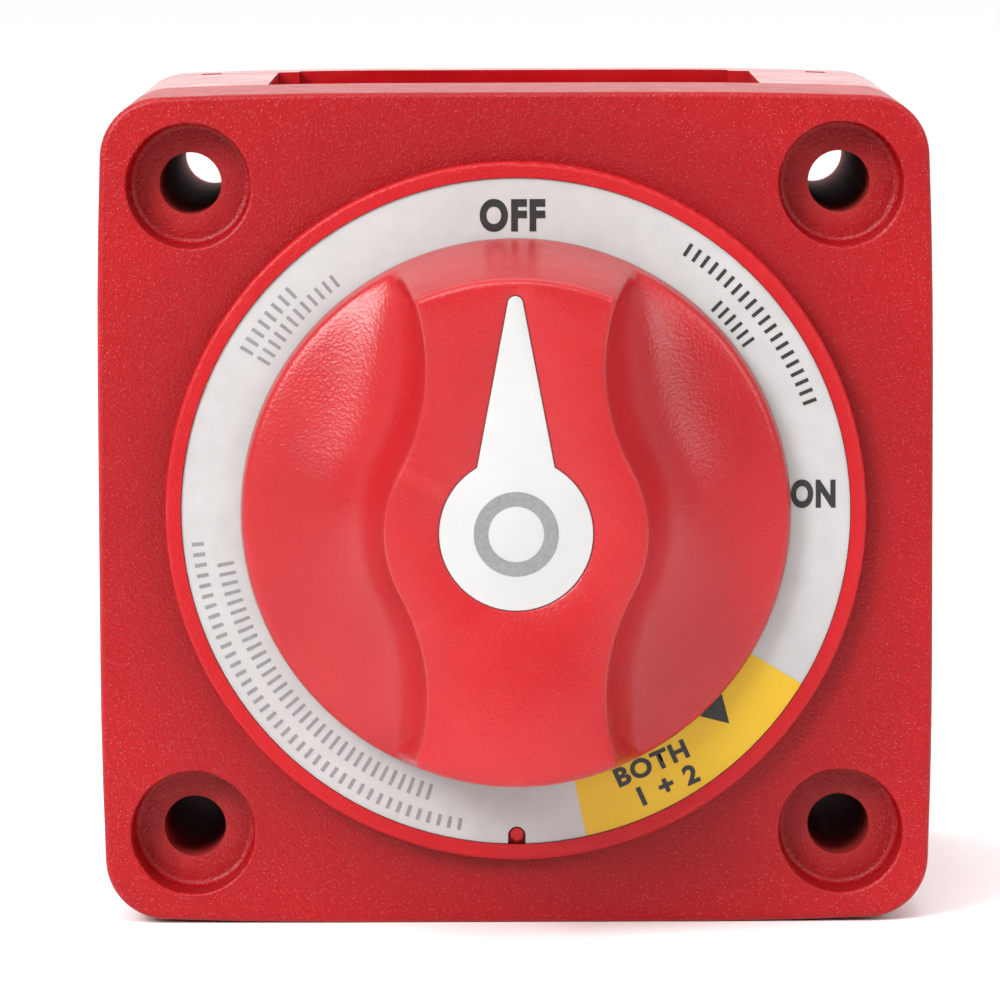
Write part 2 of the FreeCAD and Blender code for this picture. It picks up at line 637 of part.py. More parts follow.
def make_terminal(number, clock):
    """One fixed copper terminal: collar, strap and contact button.

    The first two reach the inner track and the other two reach the outer one.
    """
    body = new_body(f"terminal_{number}", clock)
    deck = "dim.deck_front"
    strap_front = "dim.deck_front + dim.terminal_thick"
    track = "inner" if number <= 2 else "outer"
    middle = f"(dim.{track}_track + dim.{track}_track_end) / 2"
    nose = f"dim.{track}_track - dim.nose_overhang"
    shoulder = "dim.stud_circle - dim.collar_radius"
    wide_from = f"{shoulder} + dim.shoulder_slope"
    points = [
        ("-dim.nose_half", nose), ("dim.nose_half", nose), ("dim.nose_half", shoulder),
        ("dim.terminal_half", wide_from), ("dim.terminal_half", "dim.terminal_end"),
        ("-dim.terminal_half", "dim.terminal_end"), ("-dim.terminal_half", wide_from),
        ("-dim.nose_half", shoulder),
    ]
    if track == "outer":
        points = [points[0], points[1], *points[3:7]]
    add(body, "strap", deck, strap_front, lambda sketch: outline(sketch, points))
    add(body, "collar", "dim.collar_back", deck,
        lambda sketch: circle(sketch, "dim.collar_radius", "0", "dim.stud_circle"))
    add(body, "button", strap_front, f"{strap_front} + dim.button_high",
        lambda sketch: circle(sketch, "dim.button_radius", "0", middle))
    cut(body, "stud_hole", "dim.collar_back", strap_front,
        lambda sketch: circle(sketch, "dim.stud_neck", "0", "dim.stud_circle"))


def make_stud(number, clock):
    """One terminal stud with a low head that sits on its terminal."""
    body = new_body(f"terminal_stud_{number}", clock)
    seat = "dim.deck_front + dim.terminal_thick"
    neck_back = "dim.stud_back + dim.stud_free"
    add(body, "free_end", "dim.stud_back", neck_back,
        lambda sketch: circle(sketch, "dim.stud_radius", "0", "dim.stud_circle"))
    add(body, "neck", neck_back, seat,
        lambda sketch: circle(sketch, "dim.stud_neck", "0", "dim.stud_circle"))
    tip = (at("dim.stud_radius"), at("dim.stud_back"))
    dress(body, "Chamfer", "tip",
          edges_where(body.Shape, lambda edge, middle: is_circle(edge, *tip, middle)),
          Size="dim.stud_tip")
    add(body, "head", seat, f"{seat} + dim.stud_head_high",
        lambda sketch: circle(sketch, "dim.stud_head", "0", "dim.stud_circle"))


def make_stud_ring(name, radius, back, front):
    """Four equal round washers, one on each stud."""
    body = new_body(name)

    def rings(sketch):
        for clock in STUD_CLOCKS:
            circle(sketch, radius, *polar("dim.stud_circle", clock))
            circle(sketch, "dim.washer_bore", *polar("dim.stud_circle", clock))

    add(body, "rings", back, front, rings)
    return body


def make_stud_hardware():
    """Flat washers, split lock washers and hexagon nuts on the studs."""
    flat_back = "dim.collar_back - dim.washer_thick"
    lock_back = f"{flat_back} - dim.lock_thick"
    nut_back = f"{lock_back} - dim.nut_high"
    make_stud_ring("flat_washers", "dim.washer_radius", flat_back, "dim.collar_back")
    lock = make_stud_ring("lock_washers", "dim.lock_radius", lock_back, flat_back)

    def slits(sketch):
        for clock in STUD_CLOCKS:
            x, z = polar("dim.stud_circle", clock)
            rectangle(sketch, f"{x} - dim.lock_slit", f"{x} + dim.lock_slit",
                      f"{z} + dim.stud_neck", f"{z} + dim.lock_radius + dim.past")

    cut(lock, "slits", lock_back, flat_back, slits)
    make_stud_nuts(nut_back)


def primitive(kind, name, **sizes):
    """A Part primitive whose sizes are expressions."""
    solid = doc.addObject(f"Part::{kind}", name)
    for key, expression in sizes.items():
        solid.setExpression(key, expression)
    return solid


def face_front(solid, x, level, z):
    """Stand a primitive at a level with its axis towards the front."""
    solid.Placement = FreeCAD.Placement(Vector(0, 0, 0), FreeCAD.Rotation(Vector(1, 0, 0), 90))
    solid.setExpression("Placement.Base.x", x)
    solid.setExpression("Placement.Base.y", f"-({level})")
    solid.setExpression("Placement.Base.z", z)


def combine(kind, name, base, tool):
    """A boolean of two solids."""
    result = doc.addObject(f"Part::{kind}", name)
    result.Base = base
    result.Tool = tool
    return result


def make_stud_nuts(nut_back):
    """A hexagon nut on each stud, its outer corners trimmed to a cone."""
    nuts = []
    for number, clock in enumerate(STUD_CLOCKS, 1):
        x, z = polar("dim.stud_circle", clock)
        hexagon = primitive("Prism", f"nut_hexagon_{number}",
                            Circumradius="dim.nut_flats / 2 / cos(30)", Height="dim.nut_high")
        cone = primitive("Cone", f"nut_cone_{number}", Radius1="dim.nut_flats / 2 - dim.nut_bevel",
                         Radius2="dim.nut_flats / 2 + dim.nut_high / tan(30)", Height="dim.nut_high")
        bore = primitive("Cylinder", f"nut_bore_{number}",
                         Radius="dim.stud_neck + dim.run_gap", Height="dim.nut_high")
        for solid in (hexagon, cone, bore):
            face_front(solid, x, nut_back, z)
        bevelled = doc.addObject("Part::MultiCommon", f"nut_blank_{number}")
        bevelled.Shapes = [hexagon, cone]
        nuts.append(combine("Cut", f"nut_{number}", bevelled, bore))
    group = doc.addObject("Part::Compound", "stud_nuts")
    group.Links = nuts
    register(group, "stud_nuts")


def make_base_screws():
    """Four screws that hold the base to the housing."""
    body = new_body("base_screws")
    add(body, "shanks", "dim.deck_back", "dim.screw_front",
        lambda sketch: four_circles(sketch, "dim.screw_radius", "dim.screw_place"))
    add(body, "heads", "dim.deck_back - dim.screw_head_high", "dim.deck_back",
        lambda sketch: four_circles(sketch, "dim.screw_head", "dim.screw_place"))
    dress(body, "Fillet", "crowns",
          edges_where(body.Shape, lambda edge, middle: is_circle(
              edge, at("dim.screw_head"), at("dim.deck_back - dim.screw_head_high"), middle)),
          Radius="dim.screw_head_high / 3")


def make_combiner_link():
    """The fixed copper bridge that joins both tracks in the COMBINE position."""
    body = new_body("combiner_link")
    front = "dim.deck_front + dim.terminal_thick + dim.button_high"
    add(body, "bridge", "dim.deck_front", front,
        lambda sketch: sector(sketch, "dim.inner_track", "dim.outer_track_end",
                              "dim.link_start", "dim.link_stop"))


# ---------------------------------------------------------------- moving parts

def make_rotor():
    """The turning contact carrier with its shaft, drive square and stop lug."""
    body = new_body("rotor")
    skirt, back = "dim.rotor_skirt", "dim.rotor_back"
    half_section = [
        ("0", "dim.pivot_back"), ("dim.pivot_radius", "dim.pivot_back"), ("dim.pivot_radius", skirt),
        ("dim.hub_radius", skirt), ("dim.hub_radius", back),
        ("dim.divider_inner", back), ("dim.divider_inner", skirt),
        ("dim.divider_outer", skirt), ("dim.divider_outer", back),
        ("dim.rim_inner", back), ("dim.rim_inner", skirt),
        ("dim.rotor_radius", skirt), ("dim.rotor_radius", "dim.rotor_front"),
        ("dim.shoulder_radius", "dim.rotor_front"), ("dim.shoulder_radius", "dim.shoulder_front"),
        ("dim.bore_radius - dim.run_gap", "dim.shoulder_front"),
        ("dim.bore_radius - dim.run_gap", "dim.seal_back"), ("dim.seal_floor", "dim.seal_back"),
        ("dim.seal_floor", "dim.seal_front"), ("dim.bore_radius - dim.run_gap", "dim.seal_front"),
        ("dim.bore_radius - dim.run_gap", "dim.collar_front"), ("0", "dim.collar_front"),
    ]
    revolve(body, "wheel", half_section)
    drive = "dim.drive_half"
    add(body, "drive", "dim.collar_front - dim.overlap", "dim.drive_front",
        lambda sketch: rectangle(sketch, f"-{drive}", drive, f"-{drive}", drive))
    add(body, "stop_lug", "dim.rotor_front - dim.overlap", "dim.lug_front",
        lambda sketch: sector(sketch, "dim.stop_inner + dim.lug_gap", "dim.stop_outer - dim.lug_gap",
                              "-dim.stop_half", "dim.stop_half"))
    cut(body, "insert_hole", "dim.insert_back", "dim.drive_front",
        lambda sketch: circle(sketch, "dim.insert_radius"))
    cut(body, "spring_pockets", back, f"{back} + dim.spring_pocket", spring_circles)
    drill_detents(body)


def spring_places():
    """Expressions for the place of each contact spring, two on each moving contact."""
    places = []
    for track in ("inner", "outer"):
        radius = f"(dim.{track}_track + dim.{track}_track_end) / 2"
        for side in ("start", "stop"):
            sign = "+" if side == "start" else "-"
            places.append(polar(radius, f"dim.{track}_arc_{side} {sign} dim.spring_inset"))
    return places


def spring_circles(sketch):
    """The outlines of the contact springs' pockets."""
    for x, z in spring_places():
        circle(sketch, "dim.spring_pocket_wide", x, z)


def drill_detents(body):
    """Two radial bores, at three and nine o'clock, for the detent balls and springs."""
    for name, side in (("detent_bore_right", 1), ("detent_bore_left", -1)):
        sketch = new_sketch(body, name, f"{side} * dim.detent_floor", "YZ_Plane")
        circle(sketch, "dim.detent_bore", "-dim.detent_level", "0")
        pocket(body, name, sketch, "dim.rotor_radius - dim.detent_floor + dim.past",
               along_normal=side > 0)


def make_moving_contacts():
    """The copper arcs that bridge the fixed contact buttons."""
    for track in ("inner", "outer"):
        body = new_body(f"{track}_contact_arc")
        add(body, "arc", "dim.arc_back", "dim.arc_back + dim.arc_thick",
            lambda sketch, track=track: sector(sketch, f"dim.{track}_track", f"dim.{track}_track_end",
                                               f"dim.{track}_arc_start", f"dim.{track}_arc_stop"))


def coil(length, radius, wire, turns):
    """A coil spring along +Z from the origin, with its wire inside the length."""
    helix = Part.makeHelix((length - 2 * wire) / turns, length - 2 * wire, radius)
    section = Part.Wire(Part.makeCircle(wire, Vector(radius, 0, 0), Vector(0, 1, 0)))
    spring = Part.Wire(helix.Edges).makePipeShell([section], True, True)
    spring.translate(Vector(0, 0, wire))
    return spring


def make_springs():
    """The four contact springs and the two detent springs."""
    base = at("dim.arc_back + dim.arc_thick")
    length = at("dim.rotor_back + dim.spring_pocket") - base
    springs = []
    for x, z in spring_places():
        spring = coil(length, at("dim.spring_radius"), at("dim.spring_wire"), at("dim.spring_turns"))
        spring.rotate(Vector(0, 0, 0), Vector(1, 0, 0), 90)
        spring.translate(Vector(at(x), -base, at(z)))
        springs.append(spring)
    contact_springs = doc.addObject("Part::Feature", "contact_springs")
    contact_springs.Shape = Part.makeCompound(springs)
    contact_springs.Placement = FreeCAD.Placement()
    register(contact_springs, "contact_springs")

    floor = at("dim.detent_floor")
    length = at("dim.ball_place - dim.ball_radius") - floor
    pair = []
    for side in (-1, 1):
        spring = coil(length, at("dim.detent_coil"), at("dim.spring_wire"), at("dim.detent_turns"))
        spring.rotate(Vector(0, 0, 0), Vector(0, 1, 0), 90 * side)
        spring.translate(Vector(side * floor, -at("dim.detent_level"), 0))
        pair.append(spring)
    detent_springs = doc.addObject("Part::Feature", "detent_springs")
    detent_springs.Shape = Part.makeCompound(pair)
    detent_springs.Placement = FreeCAD.Placement()
    register(detent_springs, "detent_springs")


def make_detent_balls():
    """Two steel balls that the detent springs press outwards."""
    balls = []
    for number, side in enumerate((-1, 1), 1):
        ball = primitive("Sphere", f"detent_ball_{number}", Radius="dim.ball_radius")
        ball.setExpression("Placement.Base.x", f"{side} * dim.ball_place")
        ball.setExpression("Placement.Base.y", "-dim.detent_level")
        balls.append(ball)
    group = doc.addObject("Part::Compound", "detent_balls")
    group.Links = balls
    register(group, "detent_balls")


def make_shaft_seal():
    """The O-ring in the shaft's groove."""
    seal = primitive("Torus", "shaft_seal", Radius1="dim.bore_radius - dim.run_gap - dim.seal_minor",
                     Radius2="dim.seal_minor")
    face_front(seal, "0", "(dim.seal_back + dim.seal_front) / 2", "0")
    register(seal, "shaft_seal")


def make_tube(name, outer, inner, back, front):
    """A plain round tube on the knob's axis."""
    body = new_body(name)

    def rings(sketch):
        circle(sketch, outer)
        circle(sketch, inner)

    add(body, "tube", back, front, rings)


def grip_outline(sketch):
    """The grip seen from the front: round middle, four concave flanks, round ends.

    A flank touches the middle circle where the line between the two centres crosses it.
    """
    reach = "sqrt(dim.grip_flank_x^2 + dim.grip_flank_z^2)"
    waist_x = f"dim.grip_waist * dim.grip_flank_x / {reach}"
    waist_z = f"dim.grip_waist * dim.grip_flank_z / {reach}"
    end_x = "dim.grip_end_half"
    end_z = "sqrt(dim.grip_end^2 - dim.grip_end_half^2)"
    flank = f"({reach} - dim.grip_waist)"
    points = [
        (f"-({waist_x})", f"-({waist_z})"), (f"-{end_x}", f"-{end_z}"),
        (end_x, f"-{end_z}"), (waist_x, f"-({waist_z})"),
        (waist_x, waist_z), (end_x, end_z),
        (f"-{end_x}", end_z), (f"-({waist_x})", waist_z),
    ]
    arcs = {
        0: (flank, -1, False), 1: ("dim.grip_end", 1, False), 2: (flank, -1, False),
        3: ("dim.grip_waist", 1, False),
        4: (flank, -1, False), 5: ("dim.grip_end", 1, False), 6: (flank, -1, False),
        7: ("dim.grip_waist", 1, False),
    }
    outline(sketch, points, arcs)


def make_knob():
    """The round skirt with its concave floor and the grip across it."""
    body = new_body("knob")
    skirt = "dim.skirt_radius"
    top = "dim.floor_top_radius"
    floor_top = "dim.skirt_front + dim.floor_rise"
    revolve(body, "skirt",
            [("0", "dim.knob_back"), (skirt, "dim.knob_back"), (skirt, "dim.skirt_front"),
             (top, floor_top), ("0", floor_top)],
            {2: ("dim.floor_radius", 1, False)})
    add(body, "grip", "dim.knob_well + dim.overlap", "dim.knob_front", grip_outline)
    face = at("dim.knob_front")
    dress(body, "Fillet", "grip_face",
          edges_where(body.Shape, lambda edge, middle: abs(middle.y + face) < 1e-4),
          Radius="dim.grip_round")
    hollow_knob(body)


def hollow_knob(body):
    """The knob's inside: well, hub with a square socket, screw well and pointer seat."""
    def well(sketch):
        circle(sketch, "dim.knob_well_radius")
        circle(sketch, "dim.knob_hub")

    cut(body, "well", "dim.knob_back", "dim.knob_well", well)
    for name, side in (("upper", 1), ("lower", -1)):
        ends = sorted([f"{side} * dim.core_start", f"{side} * dim.core_end"], key=at)
        cut(body, f"{name}_core", "dim.knob_well - dim.past", "dim.core_front",
            lambda sketch, ends=ends: rectangle(sketch, "-dim.core_half", "dim.core_half", *ends))
    socket = "dim.drive_half + dim.run_gap"
    cut(body, "socket", "dim.knob_back", "dim.drive_front + dim.drive_end_gap",
        lambda sketch: rectangle(sketch, f"-({socket})", socket, f"-({socket})", socket))
    cut(body, "screw_hole", "dim.drive_front", "dim.head_seat",
        lambda sketch: circle(sketch, "dim.knob_screw_hole"))
    cut(body, "screw_well", "dim.head_seat", "dim.pointer_back",
        lambda sketch: circle(sketch, "dim.head_well"))
    cut(body, "pointer_seat", "dim.pointer_back", "dim.knob_front",
        lambda sketch: pointer_outline(sketch, "dim.pointer_gap"))


def pointer_outline(sketch, gap):
    """A disc with a tapering finger that ends in a small round tip, all grown by a gap."""
    disc = f"(dim.pointer_disc + {gap})"
    root_x = f"(dim.pointer_root + {gap})"
    root_z = f"sqrt({disc}^2 - {root_x}^2)"
    tip_x = f"(dim.pointer_tip_round + {gap})"
    tip_z = "(dim.pointer_tip - dim.pointer_tip_round)"
    points = [(root_x, root_z), (tip_x, tip_z), (f"-{tip_x}", tip_z), (f"-{root_x}", root_z)]
    outline(sketch, points, {1: (f"{tip_x} * {ROUND_END}", 1, False), 3: (disc, 1, True)})


def make_pointer():
    """The white pointer let into the grip's face."""
    body = new_body("pointer_insert")
    add(body, "plate", "dim.pointer_back", "dim.knob_front + dim.pointer_proud",
        lambda sketch: pointer_outline(sketch, "0"))


def make_knob_screw():
    """The screw that holds the knob to the rotor, and its washer."""
    body = new_body("knob_screw")
    head = "dim.head_seat + dim.knob_washer_thick"
    add(body, "shank", "dim.knob_screw_back", head, lambda sketch: circle(sketch, "dim.knob_screw_radius"))
    add(body, "head", head, f"{head} + dim.knob_screw_high",
        lambda sketch: circle(sketch, "dim.knob_screw_head"))
    half, reach = "dim.recess_half", "dim.recess_reach"
    for name, across, along in (("recess_upright", half, reach), ("recess_level", reach, half)):
        cut(body, name, f"{head} + dim.knob_screw_high / 2", f"{head} + dim.knob_screw_high",
            lambda sketch, across=across, along=along: rectangle(
                sketch, f"-{across}", across, f"-{along}", along))
    make_tube("knob_washer", "dim.knob_washer", "dim.knob_screw_radius + dim.run_gap",
              "dim.head_seat", head)


# ---------------------------------------------------------------- check and export

def check():
    """Stop if any object failed or any sub-part has no valid shape."""
    doc.recompute()
    for item in doc.Objects:
        if "Invalid" in item.State or "Error" in item.State:
            raise RuntimeError(f"{item.Label}: {item.State}")
    for part in PARTS:
        if part.Shape.isNull() or not part.Shape.isValid():
            raise RuntimeError(f"{part.Label} has no valid shape")


def export():
    """Write each sub-part to its own file."""
    os.makedirs("parts", exist_ok=True)
    for part in PARTS:
        part.Shape.exportStep(f"parts/{part.Label}.step")
        print(f"{part.Label}: {len(part.Shape.Solids)} solids, {part.Shape.Volume:.1f} mm3")


make_front_housing()
make_label_ring()
make_terminal_base()
make_rear_cover()
for number, clock in enumerate(STUD_CLOCKS, 1):
    make_terminal(number, clock)
    make_stud(number, clock)
make_stud_hardware()
make_base_screws()
make_combiner_link()
make_rotor()
make_tube("threaded_insert", "dim.insert_radius", "dim.insert_bore",
          "dim.insert_back", "dim.drive_front - dim.insert_set_back")
make_moving_contacts()
make_springs()
make_detent_balls()
make_shaft_seal()
make_knob()
make_pointer()
make_knob_screw()
check()
export()
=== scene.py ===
import json
import math

import bmesh
import bpy
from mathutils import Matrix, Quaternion, Vector


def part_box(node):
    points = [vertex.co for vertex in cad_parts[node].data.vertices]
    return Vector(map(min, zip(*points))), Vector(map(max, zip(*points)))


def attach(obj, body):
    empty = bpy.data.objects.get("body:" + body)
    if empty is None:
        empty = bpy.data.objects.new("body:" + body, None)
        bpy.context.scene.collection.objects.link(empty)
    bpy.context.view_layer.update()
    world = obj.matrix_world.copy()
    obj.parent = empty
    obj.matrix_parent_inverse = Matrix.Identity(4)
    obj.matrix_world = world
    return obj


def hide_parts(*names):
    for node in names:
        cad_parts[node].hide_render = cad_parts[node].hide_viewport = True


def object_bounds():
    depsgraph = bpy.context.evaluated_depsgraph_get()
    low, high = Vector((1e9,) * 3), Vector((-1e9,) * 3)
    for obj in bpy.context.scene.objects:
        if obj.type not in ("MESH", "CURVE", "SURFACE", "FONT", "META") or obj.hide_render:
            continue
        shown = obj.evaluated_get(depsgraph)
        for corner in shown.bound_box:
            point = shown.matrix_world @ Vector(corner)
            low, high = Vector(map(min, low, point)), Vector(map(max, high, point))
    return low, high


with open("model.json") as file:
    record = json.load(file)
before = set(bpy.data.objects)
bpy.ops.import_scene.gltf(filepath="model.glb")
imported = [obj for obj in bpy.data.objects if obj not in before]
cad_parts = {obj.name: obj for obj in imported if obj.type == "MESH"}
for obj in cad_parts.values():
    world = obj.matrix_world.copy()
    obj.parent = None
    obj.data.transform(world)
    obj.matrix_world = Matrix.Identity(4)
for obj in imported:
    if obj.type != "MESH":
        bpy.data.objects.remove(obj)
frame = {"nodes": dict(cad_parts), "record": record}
cad_low, cad_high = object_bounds()

# Lengths below are in millimetres in the row's frame, and become metres when a mesh is made.
# A "level" is a distance in front of the rear face, and a "clock" angle runs clockwise from
# 12 o'clock, in degrees, seen from the front.
MM = 0.001
HOUSING, KNOB = "housing", "knob_and_rotor"


# ---------------------------------------------------------------- sizes read from the frame

def box_mm(node):
    """A CAD node's lowest and highest corner in millimetres."""
    low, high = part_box(node)
    return Vector(low) / MM, Vector(high) / MM


knob_low, knob_high = box_mm("knob")
label_low, label_high = box_mm("label_ring")
pointer_low, pointer_high = box_mm("pointer_insert")

KNOB_BACK = -knob_high.y
KNOB_FRONT = -knob_low.y
KNOB_HIGH = KNOB_FRONT - KNOB_BACK
SKIRT = knob_high.x
LABEL_TOP = -label_low.y
LABEL_OUTER = label_high.x
POINTER_DISC = pointer_high.x
POINTER_TIP = pointer_high.z
AIM_LEVEL = 51.0


# ---------------------------------------------------------------- mesh helpers

def point(x, level, z):
    """A place in metres from millimetres."""
    return Vector((x * MM, -level * MM, z * MM))


def at_clock(radius, clock):
    """Plan position (x, z) at a radius and clock angle."""
    turn = math.radians(clock)
    return Vector((radius * math.sin(turn), radius * math.cos(turn)))


def finish_mesh(bm, name, body, material, sharp=40.0, replaces=()):
    """Turn a bmesh into a smooth-shaded piece that rides on a body."""
    bmesh.ops.remove_doubles(bm, verts=bm.verts, dist=1e-7)
    bmesh.ops.recalc_face_normals(bm, faces=bm.faces)
    limit = math.radians(sharp)
    for edge in bm.edges:
        if len(edge.link_faces) == 2 and edge.calc_face_angle(0.0) > limit:
            edge.smooth = False
    for face in bm.faces:
        face.smooth = True
    mesh = bpy.data.meshes.new(name)
    bm.to_mesh(mesh)
    bm.free()
    piece = bpy.data.objects.new(name, mesh)
    bpy.context.scene.collection.objects.link(piece)
    mesh.materials.append(material)
    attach(piece, body)
    if replaces:
        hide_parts(*replaces)
    return piece


def skin(bm, rows, closed=True):
    """Quads between rows of vertices; closed joins each row's ends."""
    for lower, upper in zip(rows, rows[1:]):
        count = len(lower)
        for i in range(count if closed else count - 1):
            j = (i + 1) % count
            bm.faces.new((lower[i], lower[j], upper[j], upper[i]))


def fill_between(bm, *loops):
    """Triangulate the flat region between closed loops of vertices."""
    edges = []
    for loop in loops:
        for a, b in zip(loop, loop[1:] + loop[:1]):
            edges.append(bm.edges.get((a, b)) or bm.edges.new((a, b)))
    bmesh.ops.triangle_fill(bm, edges=edges, use_beauty=True)


def smoothstep(value):
    value = min(max(value, 0.0), 1.0)
    return value * value * (3 - 2 * value)


# ---------------------------------------------------------------- node helpers

# how much brighter than its base colour a white sheet in the label's place shows
LIGHT_LEVEL = 2.05
# spacing in millimetres and relative size of the painted glints, bright points that stand for sparkle of
# light on the grain
GLINT_SPACING, GLINT_SIZE = 0.20, 0.27


class Shader:
    """A material's node tree, with short calls for the nodes this scene uses."""

    def __init__(self, name):
        self.material = bpy.data.materials.new(name)
        self.material.use_nodes = True
        self.tree = self.material.node_tree
        self.surface = self.tree.nodes["Principled BSDF"]
        self.where = self.add("ShaderNodeTexCoord").outputs["Object"]

    def add(self, kind, links=(), **settings):
        node = self.tree.nodes.new(kind)
        for key, value in settings.items():
            setattr(node, key, value)
        for key, value in dict(links).items():
            self.feed(node.inputs[key], value)
        return node

    def feed(self, socket, value):
        if isinstance(value, bpy.types.NodeSocket):
            self.tree.links.new(value, socket)
        else:
            socket.default_value = value

    def noise(self, feature_mm, detail=2.0, rough=0.5, seed=0.0):
        """Noise whose blobs are about feature_mm across."""
        node = self.add("ShaderNodeTexNoise", {"Vector": self.where, "Scale": 1 / (feature_mm * MM),
                                               "Detail": detail, "Roughness": rough, "W": seed},
                        noise_dimensions="4D")
        return node.outputs["Fac"]

    def painted_glints(self):
        """Scattered painted glints, 0 to 1: bright points that stand for sparkle of light on the grain;
        their size is a fraction of their spacing.
        """
        node = self.add("ShaderNodeTexVoronoi",
                        {"Vector": self.where, "Scale": 1 / (GLINT_SPACING * MM)})
        spot = self.ramp(node.outputs["Distance"], GLINT_SIZE, 0.4 * GLINT_SIZE)
        chance = self.add("ShaderNodeSeparateColor", {"Color": node.outputs["Color"]}).outputs["Red"]
        return self.math("MULTIPLY", spot, self.ramp(chance, 0.30, 1.0))

    def parts(self):
        """The place on the piece as x, y and z in metres."""
        return self.add("ShaderNodeSeparateXYZ", {"Vector": self.where}).outputs

    def off_axis(self):
        """Distance from the knob's axis in metres."""
        parts = self.parts()
        squares = [self.math("MULTIPLY", parts[axis], parts[axis]) for axis in ("X", "Z")]
        return self.math("SQRT", self.math("ADD", *squares))

    def ramp(self, value, low, high, to_low=0.0, to_high=1.0):
        node = self.add("ShaderNodeMapRange", {"Value": value, "From Min": low, "From Max": high,
                                               "To Min": to_low, "To Max": to_high})
        return node.outputs["Result"]

    def math(self, operation, a, b=0.0):
        node = self.add("ShaderNodeMath", {0: a, 1: b}, operation=operation)
        return node.outputs[0]

    def mix(self, factor, a, b):
        node = self.add("ShaderNodeMix", {"Factor": factor}, data_type="RGBA")
        self.feed(node.inputs[6], a)
        self.feed(node.inputs[7], b)
        return node.outputs[2]

    def bump(self, height, depth_mm, strength=1.0, under=None):
        """A bump of the given depth, laid over another."""
        links = {"Height": height, "Distance": depth_mm * MM, "Strength": strength}
        if under is not None:
            links["Normal"] = under
        return self.add("ShaderNodeBump", links).outputs["Normal"]

    def in_bores(self):
        """1 inside the four mounting holes and 0 elsewhere."""
        parts = self.parts()
        gaps = []
        for axis in ("X", "Z"):
            aside = self.math("SUBTRACT", self.math("ABSOLUTE", parts[axis]), HOLE_PLACE * MM)
            gaps.append(self.math("MULTIPLY", aside, aside))
        return self.math("LESS_THAN", self.math("ADD", *gaps), (BORE * MM) ** 2)

    def worn(self, amount=0.6):
        """How far an outer edge is rubbed, 0 to 1, in patches along it."""
        edge = self.add("ShaderNodeNewGeometry").outputs["Pointiness"]
        return self.math("MULTIPLY", self.ramp(edge, 0.52, 0.60, 0.0, amount), self.noise(1.8, 3.0))

    def set(self, **sockets):
        for key, value in sockets.items():
            self.feed(self.surface.inputs[key.replace("_", " ")], value)
        return self.material


def colour(red, green, blue):
    """The base colour that shows 0 to 255 screen values under the studio's lights."""
    def linear(value):
        value /= 255
        value = value / 12.92 if value <= 0.04045 else ((value + 0.055) / 1.055) ** 2.4
        return value / LIGHT_LEVEL

    return (linear(red), linear(green), linear(blue), 1.0)


# ---------------------------------------------------------------- materials

RED_DARK = (0.285, 0.001, 0.003, 1.0)
RED = (0.345, 0.002, 0.005, 1.0)
RED_BRIGHT = (0.400, 0.005, 0.009, 1.0)
KNOB_DARK, KNOB_RED = (0.328, 0.004, 0.007, 1.0), (0.394, 0.008, 0.012, 1.0)
RED_WORN = (0.46, 0.03, 0.03, 1.0)
# a browner red painted in the mounting holes to stand for the shade inside them
BORE_SHADE_TONE = (0.340, 0.022, 0.018, 1.0)
# painted shade: the dark red that the grain's hollows and the plate around the bezel are mixed towards
RED_PAINTED_SHADE = (0.205, 0.001, 0.003, 1.0)
# colour of the painted glints
GLINT_PAINT = (0.85, 0.36, 0.34, 1.0)
WHITE_WORN, METAL_WORN, DARK_WORN = colour(206, 205, 202), colour(226, 226, 224), colour(78, 78, 80)
# the bezel is what lies in front of this level and nearer the axis than this radius
BEZEL_FROM, BEZEL_EDGE = 56.2, 29.9
# how far out from the bezel's edge, in millimetres, painted shade darkens the plate
BEZEL_PAINTED_SHADE_WIDE = 9.0
# offset of the mounting holes in x and z, and a radius just outside their walls
HOLE_PLACE, BORE = 27.65, 2.72
BORE_ROUGH = 0.8


def moulded_red(name, low, high, grain, pebble, rough, shade, glint):
    """Moulded red plastic: fine grain over larger pebbles, with painted shade in the grain's hollows and
    painted glints.

    grain and pebble are a size and a depth in millimetres, rough is a range, and the last two numbers
    say how dark the painted shade in the grain's hollows is and how strong the painted glints are.
    It gives the shader, its base colour, roughness and relief, and the pattern of its patches.
    """
    shader = Shader(name)
    patch = shader.ramp(shader.noise(14.0, 3.0), 0.3, 0.7)
    grains = shader.noise(grain[0], 2.0, 0.6, 3.0)
    pebbles = shader.ramp(shader.noise(pebble[0], 1.0, 0.5, 8.0), 0.32, 0.68)
    base = shader.mix(patch, low, high)
    # painted shade in the grain's hollows, where the relief is low
    base = shader.mix(shader.ramp(grains, 0.36, 0.58, shade, 0.0), base, RED_PAINTED_SHADE)
    # painted glints: bright points mixed into the base colour
    base = shader.mix(shader.math("MULTIPLY", shader.painted_glints(), glint), base, GLINT_PAINT)
    rough = shader.ramp(shader.noise(2.5, 3.0, seed=5.0), 0.3, 0.7, *rough)
    relief = shader.bump(pebbles, pebble[1])
    relief = shader.bump(grains, grain[1], under=relief)
    return shader, base, rough, relief, patch


def knob_red(name):
    """The knob's plastic: smoother and shinier than the case's, paler where rubbed."""
    # the knob gets a little painted shade in its grain's hollows and a few painted glints
    shader, base, rough, relief, _ = moulded_red(
        name, KNOB_DARK, KNOB_RED, grain=(0.20, 0.006), pebble=(0.26, 0.014), rough=(0.28, 0.35),
        shade=0.12, glint=0.06)
    base = shader.mix(shader.worn(), base, RED_WORN)
    return shader.set(Base_Color=base, Roughness=rough, Normal=relief, Specular_IOR_Level=0.45)


